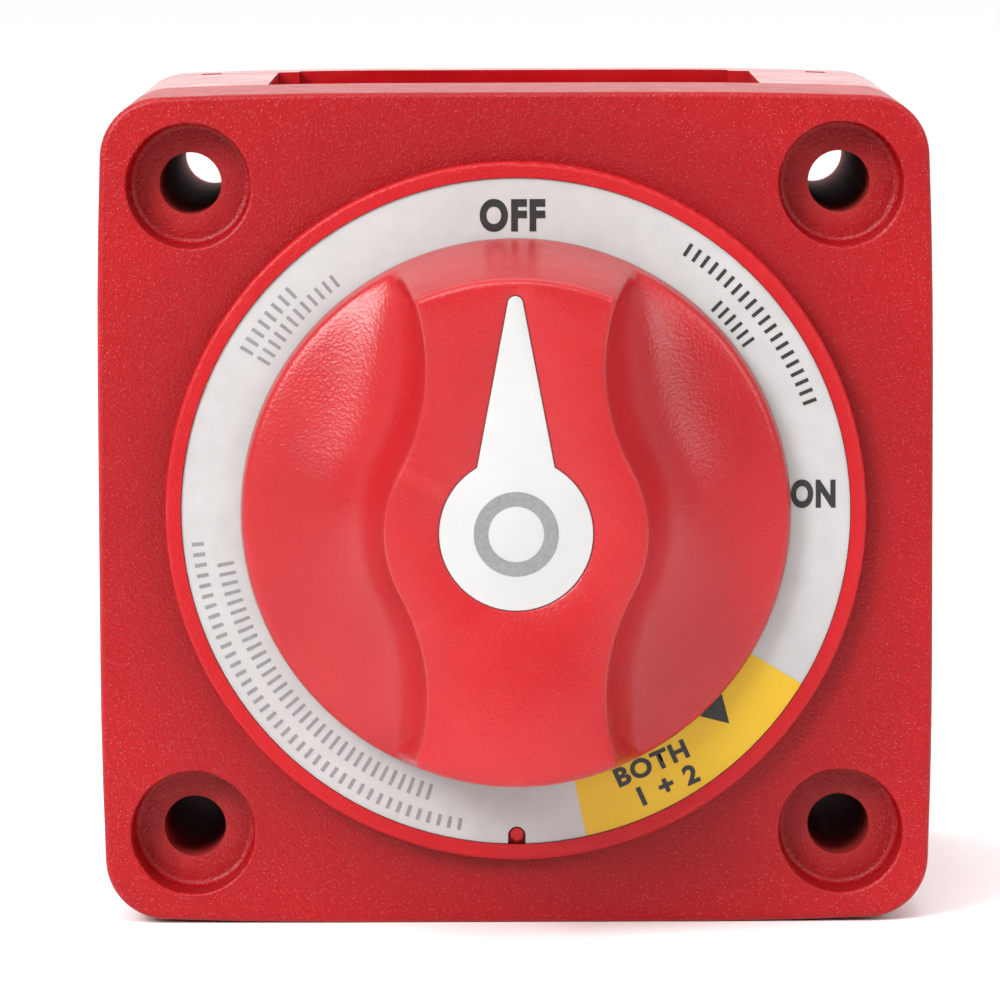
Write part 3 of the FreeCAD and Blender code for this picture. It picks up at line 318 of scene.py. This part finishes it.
def case_red(name):
    """The case's plastic, with an even bezel; painted shade darkens the plate around the bezel, and the
    bores are dull with a painted shade tone.
    """
    shader, base, rough, relief, patch = moulded_red(
        name, RED_DARK, RED, grain=(0.17, 0.026), pebble=(0.24, 0.024), rough=(0.34, 0.44),
        shade=0.62, glint=0.40)
    away = shader.off_axis()
    # painted shade: the plate is darkened towards the bezel, most at its edge
    painted_bezel_shade = shader.ramp(away, BEZEL_EDGE * MM, (BEZEL_EDGE + BEZEL_PAINTED_SHADE_WIDE) * MM, 0.55, 0.0)
    base = shader.mix(painted_bezel_shade, base, RED_PAINTED_SHADE)
    inside = shader.math("LESS_THAN", away, BEZEL_EDGE * MM)
    raised = shader.math("LESS_THAN", shader.parts()["Y"], -BEZEL_FROM * MM)
    bezel = shader.math("MULTIPLY", inside, raised)
    base = shader.mix(bezel, base, shader.mix(patch, RED, RED_BRIGHT))
    base = shader.mix(shader.worn(), base, RED_WORN)
    bore = shader.in_bores()
    # painted shade tone in the mounting holes, which are also made rough
    base = shader.mix(bore, base, BORE_SHADE_TONE)
    rough = shader.math("MAXIMUM", rough, shader.math("MULTIPLY", bore, BORE_ROUGH))
    return shader.set(Base_Color=base, Roughness=rough, Normal=relief, Specular_IOR_Level=0.26)


def glossy_red(name):
    """Smooth glossy red plastic with the faint waves of a moulding, for the base and the cover."""
    shader = Shader(name)
    patch = shader.ramp(shader.noise(9.0, 3.0), 0.3, 0.7)
    relief = shader.bump(shader.noise(3.5, 2.0), 0.03)
    relief = shader.bump(shader.noise(0.35, 2.0, seed=2.0), 0.004, under=relief)
    rough = shader.ramp(shader.noise(5.0, 4.0, seed=7.0), 0.3, 0.7, 0.16, 0.26)
    bore = shader.in_bores()
    base = shader.mix(shader.worn(), shader.mix(patch, RED_DARK, RED), RED_WORN)
    # painted shade tone in the mounting holes, which are also made rough
    base = shader.mix(bore, base, BORE_SHADE_TONE)
    rough = shader.math("MAXIMUM", rough, shader.math("MULTIPLY", bore, BORE_ROUGH))
    return shader.set(Base_Color=base, Roughness=rough, Normal=relief)


def white_plastic(name, low, high, rough_low, rough_high):
    """White plastic with faint grain, greyer where rubbed."""
    shader = Shader(name)
    tint = shader.mix(shader.ramp(shader.noise(7.0, 4.0), 0.3, 0.7), low, high)
    tint = shader.mix(shader.worn(), tint, WHITE_WORN)
    relief = shader.bump(shader.noise(0.25, 2.0, 0.6, 1.0), 0.006)
    rough = shader.ramp(shader.noise(2.0, 3.0, seed=4.0), 0.3, 0.7, rough_low, rough_high)
    return shader.set(Base_Color=tint, Roughness=rough, Normal=relief)


def ink(name, tint, worn):
    """Printed ink, slightly uneven in its cover, with the worn tone where it is thin."""
    shader = Shader(name)
    cover = shader.ramp(shader.noise(0.35, 4.0, 0.7), 0.35, 0.8)
    relief = shader.bump(shader.noise(0.2, 2.0), 0.004)
    rough = shader.ramp(shader.noise(0.8, 3.0, seed=2.0), 0.3, 0.7, 0.38, 0.52)
    return shader.set(Base_Color=shader.mix(cover, tint, worn), Roughness=rough, Normal=relief)


def metal(name, low, high, rough_low, rough_high):
    """Metal with fine turning marks around the Y axis and uneven polish."""
    shader = Shader(name)
    stretched = shader.add("ShaderNodeMapping", {"Vector": shader.where, "Scale": (1.0, 9.0, 1.0)})
    shader.where = stretched.outputs["Vector"]
    lines = shader.noise(0.72, 3.0, 0.6)
    tint = shader.mix(shader.ramp(lines, 0.3, 0.7), low, high)
    tint = shader.mix(shader.worn(), tint, METAL_WORN)
    relief = shader.bump(lines, 0.006)
    rough = shader.ramp(shader.noise(3.0, 4.0, seed=2.0), 0.3, 0.7, rough_low, rough_high)
    return shader.set(Base_Color=tint, Metallic=1.0, Roughness=rough, Normal=relief)


def dark_polymer(name, low, high, rough_low, rough_high):
    """Glass-filled or rubber parts inside the case."""
    shader = Shader(name)
    tint = shader.mix(shader.ramp(shader.noise(1.2, 4.0), 0.3, 0.7), low, high)
    tint = shader.mix(shader.worn(), tint, DARK_WORN)
    relief = shader.bump(shader.noise(0.15, 3.0), 0.01)
    rough = shader.ramp(shader.noise(0.9, 3.0, seed=2.0), 0.3, 0.7, rough_low, rough_high)
    return shader.set(Base_Color=tint, Roughness=rough, Normal=relief)


MATERIALS = {
    "housing_plastic": case_red("housing_plastic"),
    "base_plastic": glossy_red("base_plastic"),
    "knob_plastic": knob_red("knob_plastic"),
    "label_plastic": white_plastic("label_plastic", colour(238, 237, 236), colour(247, 246, 245),
                                   0.34, 0.44),
    "copper": metal("copper", colour(196, 120, 86), colour(224, 150, 112), 0.22, 0.36),
    "plated_stud": metal("plated_stud", colour(186, 182, 170), colour(214, 210, 198), 0.24, 0.38),
    "brass": metal("brass", colour(190, 152, 84), colour(214, 178, 110), 0.24, 0.36),
    "stainless_steel": metal("stainless_steel", colour(172, 173, 175), colour(206, 207, 208),
                             0.22, 0.36),
    "spring_steel": metal("spring_steel", colour(140, 142, 146), colour(176, 178, 182), 0.26, 0.4),
    "rotor_plastic": dark_polymer("rotor_plastic", colour(28, 28, 30), colour(46, 46, 48), 0.45, 0.62),
    "seal_rubber": dark_polymer("seal_rubber", colour(20, 20, 20), colour(34, 34, 34), 0.55, 0.7),
}
INK_BLACK = ink("ink_black", colour(30, 28, 30), colour(62, 58, 58))
INK_GREY = ink("ink_grey", colour(158, 156, 156), colour(186, 184, 184))
INK_YELLOW = ink("ink_yellow", (0.56, 0.345, 0.002, 1.0), (0.58, 0.37, 0.010, 1.0))


def dress_cad():
    """Give each CAD node the material of its slot."""
    slots = {row["node"]: row["material_slot"] for row in frame["record"]["subparts"]}
    for node, obj in frame["nodes"].items():
        obj.data.materials.clear()
        obj.data.materials.append(MATERIALS[slots[node]])


# ---------------------------------------------------------------- pointer outline

POINTER_ROOT = 3.2
POINTER_TIP_ROUND = 0.65
POINTER_EDGE = 0.14
DISC_STEPS, TIP_STEPS = 56, 10


def pointer_loop(grow):
    """Plan points of the pointer, grown outwards: disc, tapering finger, round tip."""
    disc = POINTER_DISC + grow
    root = POINTER_ROOT + grow
    tip = POINTER_TIP_ROUND + grow
    half_open = math.degrees(math.asin(root / disc))
    centre = POINTER_TIP - POINTER_TIP_ROUND
    loop = []
    for i in range(DISC_STEPS + 1):
        loop.append(at_clock(disc, half_open + (360 - 2 * half_open) * i / DISC_STEPS))
    for i in range(TIP_STEPS + 1):
        loop.append(at_clock(tip, -90 + 180 * i / TIP_STEPS) + Vector((0, centre)))
    return loop


def make_pointer():
    """The white insert with softly rounded edges."""
    bm = bmesh.new()
    back, front = -pointer_high.y, -pointer_low.y
    edge = POINTER_EDGE
    rows = []
    for grow, level in ((0, back), (0, front - edge), (-0.3 * edge, front - 0.3 * edge), (-edge, front)):
        rows.append([bm.verts.new(point(p.x, level, p.y)) for p in pointer_loop(grow)])
    skin(bm, rows)
    fill_between(bm, rows[0])
    fill_between(bm, rows[-1])
    return finish_mesh(bm, "pointer", KNOB, MATERIALS["label_plastic"],
                       replaces=("pointer_insert",))


# ---------------------------------------------------------------- knob

# the grip is bounded by two circles on the axis and by four hollow flanks, one in each quarter
GRIP_WAIST = 10.95
GRIP_END = 21.1
FLANK_CENTRE = Vector((25.0, 13.67))
FLANK = FLANK_CENTRE.length - GRIP_WAIST
CORNER = 0.5
FACE_ROUND = 0.75
FLANK_ROUND = 0.3
RIM_HIGH = 2.4
FOOT_ROUND = 0.35
RIM_ROUND = 0.5
POCKET_GAP = 0.05
POCKET_BEVEL = 0.22
# a profile starts to be scooped where rim and grip are this far apart, and is wholly so further on
SCOOP_FROM, SCOOP_WIDE = 2.1, 1.7
# how far the flat underside reaches in from the skirt
FOOT_FLAT = 1.2
END_STEPS, CORNER_STEPS, FLANK_STEPS, WAIST_STEPS = 12, 8, 44, 16
RIM_STEPS, WALL_STEPS, EDGE_STEPS = 4, 26, 5
# the floor of a scoop, from rim to grip, as fractions of the way out and heights above the skirt
FLOOR_OUT = (1.0, 0.55, 0.075, 0.02, 0.0)
FLOOR_HIGH = (RIM_HIGH, 3.6, 4.2, 9.5, None)


def circles_meet(centre_a, radius_a, centre_b, radius_b):
    """The meeting point of two circles that lies to the left of the way from a to b."""
    way = centre_b - centre_a
    gap = way.length
    along = (gap * gap + radius_a ** 2 - radius_b ** 2) / (2 * gap)
    aside = math.sqrt(radius_a ** 2 - along ** 2)
    way.normalize()
    return centre_a + way * along + Vector((-way.y, way.x)) * aside


def arc(centre, radius, start, stop, steps, inward=False):
    """Points and outward normals along an arc between two clock angles."""
    rows = []
    for i in range(steps):
        spoke = at_clock(1.0, start + (stop - start) * i / steps)
        rows.append((centre + spoke * radius, -spoke if inward else spoke))
    return rows


def clock_of(vector):
    return math.degrees(math.atan2(vector.x, vector.y))


def grip_quarter():
    """The grip's outline from 12 to 3 o'clock: end, rounded corner, concave flank, waist."""
    axis = Vector((0, 0))
    corner = circles_meet(axis, GRIP_END - CORNER, FLANK_CENTRE, FLANK + CORNER)
    corner_start = clock_of(corner)
    corner_stop = clock_of(FLANK_CENTRE - corner)
    flank_start = clock_of(corner - FLANK_CENTRE)
    flank_stop = clock_of(-FLANK_CENTRE)
    waist_start = clock_of(FLANK_CENTRE)
    rows = [(p, n, FACE_ROUND) for p, n in arc(axis, GRIP_END, 0, corner_start, END_STEPS)]
    bend = arc(corner, CORNER, corner_start, corner_stop, CORNER_STEPS)
    for i, (p, n) in enumerate(bend):
        rows.append((p, n, FACE_ROUND + (FLANK_ROUND - FACE_ROUND) * i / CORNER_STEPS))
    flank = arc(FLANK_CENTRE, FLANK, flank_start % 360, flank_stop % 360, FLANK_STEPS, inward=True)
    waist = arc(axis, GRIP_WAIST, waist_start, 90, WAIST_STEPS)
    waist.append((Vector((GRIP_WAIST, 0)), Vector((1, 0))))
    return rows + [(p, n, FLANK_ROUND) for p, n in flank + waist]


def with_skirt(rows):
    """Add to each outline point the clock angle where its profile starts on the skirt."""
    travel = [0.0]
    for a, b in zip(rows[END_STEPS:], rows[END_STEPS + 1:]):
        travel.append(travel[-1] + (b[0] - a[0]).length)
    first = clock_of(rows[END_STEPS][0])
    out = [(p, n, clock_of(p), edge) for p, n, edge in rows[:END_STEPS]]
    for (p, n, edge), way in zip(rows[END_STEPS:], travel):
        out.append((p, n, first + (90 - first) * (way / travel[-1]) ** 0.9, edge))
    return out


def whole_outline():
    """The quarter outline mirrored into all four quarters, clockwise from 12 o'clock."""
    quarter = with_skirt(grip_quarter())
    right = quarter + [
        (Vector((p.x, -p.y)), Vector((n.x, -n.y)), 180 - clock, edge)
        for p, n, clock, edge in reversed(quarter[:-1])
    ]
    left = [
        (Vector((-p.x, p.y)), Vector((-n.x, n.y)), -clock, edge)
        for p, n, clock, edge in reversed(right[1:-1])
    ]
    return right + left


def bezier(points, t):
    """A Bezier curve's point, by repeated halving towards t."""
    while len(points) > 1:
        points = [a.lerp(b, t) for a, b in zip(points, points[1:])]
    return points[0]


def knob_profile(p, normal, clock, edge):
    """Places (x, z, height) from the skirt's foot to the grip's face, for one outline point.

    normal points out of the grip, clock is the profile's place on the skirt, and edge is how far
    the face's rounding reaches inwards.
    """
    top = KNOB_HIGH - FACE_ROUND
    lean = (SKIRT - GRIP_END) / top

    def wall(height, inset=0.0):
        plan = at_clock(SKIRT - lean * height - inset, clock)
        return Vector((plan.x, plan.y, height))

    rim = wall(RIM_HIGH)
    grip = Vector((p.x, p.y, top))
    reach = (Vector((rim.x, rim.y)) - p).length
    scooped = smoothstep((reach - SCOOP_FROM) / SCOOP_WIDE)
    controls = []
    for i, (out, high) in enumerate(zip(FLOOR_OUT, FLOOR_HIGH)):
        straight = rim.lerp(grip, i / 4)
        floor = grip.lerp(rim, out)
        floor.z = top if high is None else high
        controls.append(straight.lerp(floor, scooped))
    rows = [wall(0.0, FOOT_FLAT), wall(0.0, FOOT_ROUND), wall(0.3 * FOOT_ROUND, 0.3 * FOOT_ROUND),
            wall(FOOT_ROUND), wall(RIM_HIGH * 0.5)]
    before = wall(RIM_HIGH - RIM_ROUND)
    start = RIM_ROUND / max((controls[-1] - controls[0]).length, 4.0)
    after = bezier(controls, start)
    for i in range(RIM_STEPS + 1):
        rows.append(bezier([before, rim, after], i / RIM_STEPS))
    for i in range(1, WALL_STEPS + 1):
        rows.append(bezier(controls, start + (1 - start) * i / WALL_STEPS))
    for i in range(1, EDGE_STEPS + 1):
        turn = math.radians(90 * i / EDGE_STEPS)
        inset = edge * (1 - math.cos(turn))
        rows.append(Vector((p.x - normal.x * inset, p.y - normal.y * inset,
                            top + FACE_ROUND * math.sin(turn))))
    return rows


def make_knob():
    """Skirt, scoops and grip in one skin, with the pointer's pocket in the face."""
    bm = bmesh.new()
    profiles = [knob_profile(*row) for row in whole_outline()]
    rows = []
    for places in zip(*profiles):
        rows.append([bm.verts.new(point(v.x, KNOB_BACK + v.z, v.y)) for v in places])
    skin(bm, rows)
    pocket = [
        [bm.verts.new(point(p.x, level, p.y)) for p in pointer_loop(grow)]
        for grow, level in ((POCKET_GAP + POCKET_BEVEL, KNOB_FRONT),
                            (POCKET_GAP, KNOB_FRONT - 0.5 * POCKET_BEVEL),
                            (POCKET_GAP, -pointer_high.y))
    ]
    fill_between(bm, rows[-1], pocket[0])
    skin(bm, pocket)
    fill_between(bm, pocket[-1])
    fill_between(bm, rows[0])
    return finish_mesh(bm, "knob_shell", KNOB, MATERIALS["knob_plastic"],
                       sharp=50.0, replaces=("knob",))


# ---------------------------------------------------------------- print on the label ring

INK_HIGH = 0.03
INK_ON_INK = LABEL_TOP + INK_HIGH
LETTER_SPACE = 1.14
DASH_PITCH, DASH_FILL = 1.9, 0.35
# name, words, height, width, centre, turn in degrees, level and extra thickness of the strokes
WORDS = (
    ("print_off", "OFF", 2.8, 5.55, (-0.2, 25.2), 0, LABEL_TOP, 0.05),
    ("print_on", "ON", 2.45, 3.8, (25.2, 1.5), 0, LABEL_TOP, 0.05),
)
WORDS_ON_YELLOW = (
    ("print_both", "BOTH", 1.7, 6.6, (11.45, -21.5), -24, INK_ON_INK, 0.04),
    ("print_sum", "1 + 2", 1.7, 5.4, (12.9, -23.3), -24, INK_ON_INK, 0.04),
)
YELLOW_START, YELLOW_STOP = 121.3, 167.9
ARROW_CLOCK, ARROW_TIP, ARROW_BASE, ARROW_HALF = 135, 25.6, 22.4, 1.9
# each dashed scale is one or two rows: inner and outer radius, first and last clock angle
SCALE_LEFT = ((24.3, 25.7, 197, 262), (26.6, 27.6, 190, 266))
SCALE_UPPER = ((24.3, 25.5, 301, 324), (26.0, 27.2, 301, 318))
SCALE_RIGHT = ((26.0, 27.2, 33, 72), (23.8, 25.0, 44, 56))
MARK_RADII = (3.5, 2.3)


def plate(bm, loop, level, thick, hole=None):
    """A thin flat plate inside a loop, with an optional hole."""
    top = [bm.verts.new(point(p.x, level + thick, p.y)) for p in loop]
    low = [bm.verts.new(point(p.x, level, p.y)) for p in loop]
    skin(bm, [low, top])
    loops = [(low, top)]
    if hole:
        hole_top = [bm.verts.new(point(p.x, level + thick, p.y)) for p in hole]
        hole_low = [bm.verts.new(point(p.x, level, p.y)) for p in hole]
        skin(bm, [hole_low, hole_top])
        loops.append((hole_low, hole_top))
    fill_between(bm, *[pair[1] for pair in loops])
    fill_between(bm, *[pair[0] for pair in loops])


def sector_loop(inner, outer, start, stop, step=2.0):
    """Plan points of a ring sector."""
    count = max(2, int((stop - start) / step))
    clocks = [start + (stop - start) * i / count for i in range(count + 1)]
    return [at_clock(outer, c) for c in clocks] + [at_clock(inner, c) for c in reversed(clocks)]


def printed(name, loops, material, level=LABEL_TOP, body=HOUSING, hole=None):
    """A piece of ink made of several flat loops."""
    bm = bmesh.new()
    for loop in loops:
        plate(bm, loop, level, INK_HIGH, hole)
    return finish_mesh(bm, name, body, material)


def lettering(name, text, height, width, centre, turn, level, bold):
    """Plain words or numbers as flat black ink, fitted to a height and a width."""
    centre = Vector(centre)
    curve = bpy.data.curves.new(name, "FONT")
    curve.body = text
    curve.offset = bold
    curve.extrude = 0.5
    curve.resolution_u = 6
    curve.space_character = LETTER_SPACE
    source = bpy.data.objects.new(name + "_source", curve)
    bpy.context.scene.collection.objects.link(source)
    bpy.context.view_layer.update()
    depsgraph = bpy.context.evaluated_depsgraph_get()
    mesh = bpy.data.meshes.new_from_object(source.evaluated_get(depsgraph))
    bpy.data.objects.remove(source)
    low = Vector([min(v.co[i] for v in mesh.vertices) for i in range(3)])
    high = Vector([max(v.co[i] for v in mesh.vertices) for i in range(3)])
    middle = (low + high) / 2
    turn = math.radians(turn)
    for vertex in mesh.vertices:
        x = (vertex.co.x - middle.x) / (high.x - low.x) * width
        z = (vertex.co.y - middle.y) / (high.y - low.y) * height
        rise = (vertex.co.z - low.z) / (high.z - low.z) * INK_HIGH
        across = x * math.cos(turn) + z * math.sin(turn) + centre.x
        up = -x * math.sin(turn) + z * math.cos(turn) + centre.y
        vertex.co = point(across, level + rise, up)
    bm = bmesh.new()
    bm.from_mesh(mesh)
    bpy.data.meshes.remove(mesh)
    return finish_mesh(bm, name, HOUSING, INK_BLACK)


def dashes(rows):
    """Dashed arcs as loops."""
    loops = []
    for inner, outer, start, stop in rows:
        for i in range(int((stop - start) / DASH_PITCH)):
            first, last = start + DASH_PITCH * i, start + DASH_PITCH * (i + DASH_FILL)
            loops.append(sector_loop(inner, outer, first, last, 1.0))
    return loops


def print_label():
    """Position words, the yellow sector, its arrow, plain dashed scales and the pointer's ring."""
    for word in WORDS:
        lettering(*word)
    sector = sector_loop(SKIRT - 1.5, LABEL_OUTER - 0.02, YELLOW_START, YELLOW_STOP)
    printed("print_yellow", [sector], INK_YELLOW)
    tip = at_clock(ARROW_TIP, ARROW_CLOCK)
    base = at_clock(ARROW_BASE, ARROW_CLOCK)
    side = (tip - base).orthogonal().normalized() * ARROW_HALF
    printed("print_arrow", [[tip, base + side, base - side]], INK_BLACK, INK_ON_INK)
    for word in WORDS_ON_YELLOW:
        lettering(*word)
    printed("print_scale_left", dashes(SCALE_LEFT), INK_GREY)
    printed("print_scale_upper", dashes(SCALE_UPPER), INK_GREY)
    circle, hollow = [[at_clock(radius, 5.0 * i) for i in range(72)] for radius in MARK_RADII]
    printed("print_mark", [circle], INK_GREY, -pointer_low.y, KNOB, hollow)
    printed("print_scale_right", dashes(SCALE_RIGHT), INK_BLACK)


# ---------------------------------------------------------------- studs

THREAD_PITCH = 1.59
THREAD_DEPTH = 0.45
THREAD_AROUND = 48
THREAD_LONG = 17.6
ROWS_PER_TURN = 10
STUD_TIP = 0.8
STUD_CREST, STUD_NECK = 4.76, 4.4
STUD_HEAD_HIGH, STUD_HEAD_BEVEL = 0.9, 0.25


def thread_radius(level, turn, back, front):
    """Radius of the thread's surface at a level and a fraction of a turn; it fades at both ends."""
    phase = (level / THREAD_PITCH - turn) % 1.0
    tooth = min(1.0, max(0.0, 2.3 * abs(phase - 0.5) - 0.1))
    fade = smoothstep((level - back) / STUD_TIP) * smoothstep((front - level) / (2 * STUD_TIP))
    bevel = max(0.0, STUD_TIP - (level - back)) * 0.9
    return STUD_CREST - THREAD_DEPTH * tooth * fade - bevel


def make_stud(number):
    """A terminal stud with its thread, plain neck and low head."""
    name = f"terminal_stud_{number}"
    low, high = box_mm(name)
    middle = Vector(((low.x + high.x) / 2, (low.z + high.z) / 2))
    back, front = -high.y, -low.y
    head = (high.x - low.x) / 2
    thread_end = back + THREAD_LONG
    steps = int((thread_end - back) / THREAD_PITCH * ROWS_PER_TURN)
    rows = []
    for i in range(steps + 1):
        level = back + (thread_end - back) * i / steps
        rows.append([(thread_radius(level, j / THREAD_AROUND, back, thread_end), level)
                     for j in range(THREAD_AROUND)])
    seat = front - STUD_HEAD_HIGH
    for radius, level in ((STUD_NECK, thread_end + 0.3), (STUD_NECK, seat), (head, seat),
                          (head, front - STUD_HEAD_BEVEL), (head - STUD_HEAD_BEVEL, front)):
        rows.append([(radius, level)] * THREAD_AROUND)
    bm = bmesh.new()
    rings = []
    for row in rows:
        ring = []
        for j, (radius, level) in enumerate(row):
            place = middle + at_clock(radius, 360 * j / THREAD_AROUND)
            ring.append(bm.verts.new(point(place.x, level, place.y)))
        rings.append(ring)
    skin(bm, rings)
    fill_between(bm, rings[0])
    fill_between(bm, rings[-1])
    finish_mesh(bm, f"stud_{number}", HOUSING, MATERIALS["plated_stud"], replaces=(name,))


# ---------------------------------------------------------------- studio

# places and sizes here are in metres
FLOOR_HALF = 6.0
SWITCH_MIDDLE = (0, -0.05, 0)
# name, place, aim, size and power of each soft box
SOFT_BOXES = (
    ("key_left", (-0.50, -0.72, 0.50), SWITCH_MIDDLE, (0.42, 0.42), 10.5),
    ("key_top", (-0.04, -0.62, 0.72), SWITCH_MIDDLE, (0.40, 0.30), 2.2),
    ("key_right", (0.62, -0.65, 0.36), SWITCH_MIDDLE, (0.36, 0.36), 2.2),
    ("top", (0, 0.4, 1.0), (0, 0.3, 0), (1.2, 0.8), 2.2),
)
WORLD_BRIGHT_WAY = (0.0, 0.64, 0.77)
CAMERA_EYE, CAMERA_AIM = point(-0.9, AIM_LEVEL + 595, 59.3), point(-1.34, AIM_LEVEL, 0.43)
CAMERA_LENS, CAMERA_SENSOR, CAMERA_ROLL = 251.3, 36.0, -0.2


def area_light(name, place, target, size, power):
    light = bpy.data.lights.new(name, "AREA")
    light.shape = "RECTANGLE"
    light.size, light.size_y = size
    light.energy = power
    lamp = bpy.data.objects.new(name, light)
    bpy.context.scene.collection.objects.link(lamp)
    lamp.location = place
    lamp.rotation_euler = (Vector(target) - Vector(place)).to_track_quat("-Z", "Y").to_euler()


def make_floor():
    """A pale floor, white around and behind the switch and softer in front of it."""
    size = FLOOR_HALF
    floor = bpy.data.meshes.new("studio_floor")
    height = cad_low.z
    floor.from_pydata([(-size, -size, height), (size, -size, height), (size, size, height),
                       (-size, size, height)], [], [(0, 1, 2, 3)])
    ground = bpy.data.objects.new("studio_floor", floor)
    bpy.context.scene.collection.objects.link(ground)
    shader = Shader("studio_floor")
    along = shader.add("ShaderNodeSeparateXYZ", {"Vector": shader.where}).outputs["Y"]
    behind = shader.ramp(along, -0.22, -0.10)
    tint = shader.mix(behind, (0.5, 0.5, 0.5, 1), (0.93, 0.93, 0.93, 1))
    stains = shader.ramp(shader.noise(30.0, 3.0), 0.3, 0.7, 0.0, 0.03)
    tint = shader.mix(stains, tint, (0.8, 0.8, 0.8, 1))
    ground.data.materials.append(shader.set(Base_Color=tint, Roughness=0.9))


def make_surroundings():
    """White surroundings, brightest overhead and behind, dimmest in front."""
    world = bpy.data.worlds.new("studio_world")
    bpy.context.scene.world = world
    world.use_nodes = True
    nodes, links = world.node_tree.nodes, world.node_tree.links
    way = nodes.new("ShaderNodeTexCoord")
    facing = nodes.new("ShaderNodeVectorMath")
    facing.operation = "DOT_PRODUCT"
    facing.inputs[1].default_value = WORLD_BRIGHT_WAY
    glow = nodes.new("ShaderNodeMapRange")
    glow.interpolation_type = "SMOOTHSTEP"
    for key, value in {"From Min": -0.8, "From Max": 0.9, "To Min": 0.12, "To Max": 1.25}.items():
        glow.inputs[key].default_value = value
    links.new(way.outputs["Generated"], facing.inputs[0])
    links.new(facing.outputs["Value"], glow.inputs["Value"])
    links.new(glow.outputs["Result"], nodes["Background"].inputs["Strength"])
    nodes["Background"].inputs["Color"].default_value = (1, 1, 1, 1)


def make_studio():
    """Floor, surroundings and soft boxes."""
    make_floor()
    make_surroundings()
    for box in SOFT_BOXES:
        area_light(*box)
    view = bpy.context.scene.view_settings
    view.view_transform = "Standard"
    view.look = "None"


def make_camera():
    """The long lens that looks at the face from a little above."""
    camera = bpy.data.cameras.new("camera")
    camera.sensor_width = CAMERA_SENSOR
    camera.lens = CAMERA_LENS
    camera.clip_start = 0.05
    camera.clip_end = 20.0
    rig = bpy.data.objects.new("camera", camera)
    bpy.context.scene.collection.objects.link(rig)
    rig.location = CAMERA_EYE
    rig.rotation_mode = "QUATERNION"
    straight = (CAMERA_AIM - CAMERA_EYE).to_track_quat("-Z", "Y")
    rig.rotation_quaternion = straight @ Quaternion((0, 0, 1), math.radians(CAMERA_ROLL))
    bpy.context.scene.camera = rig


make_camera()
make_studio()
dress_cad()
make_knob()
make_pointer()
for number in range(1, 5):
    make_stud(number)
print_label()
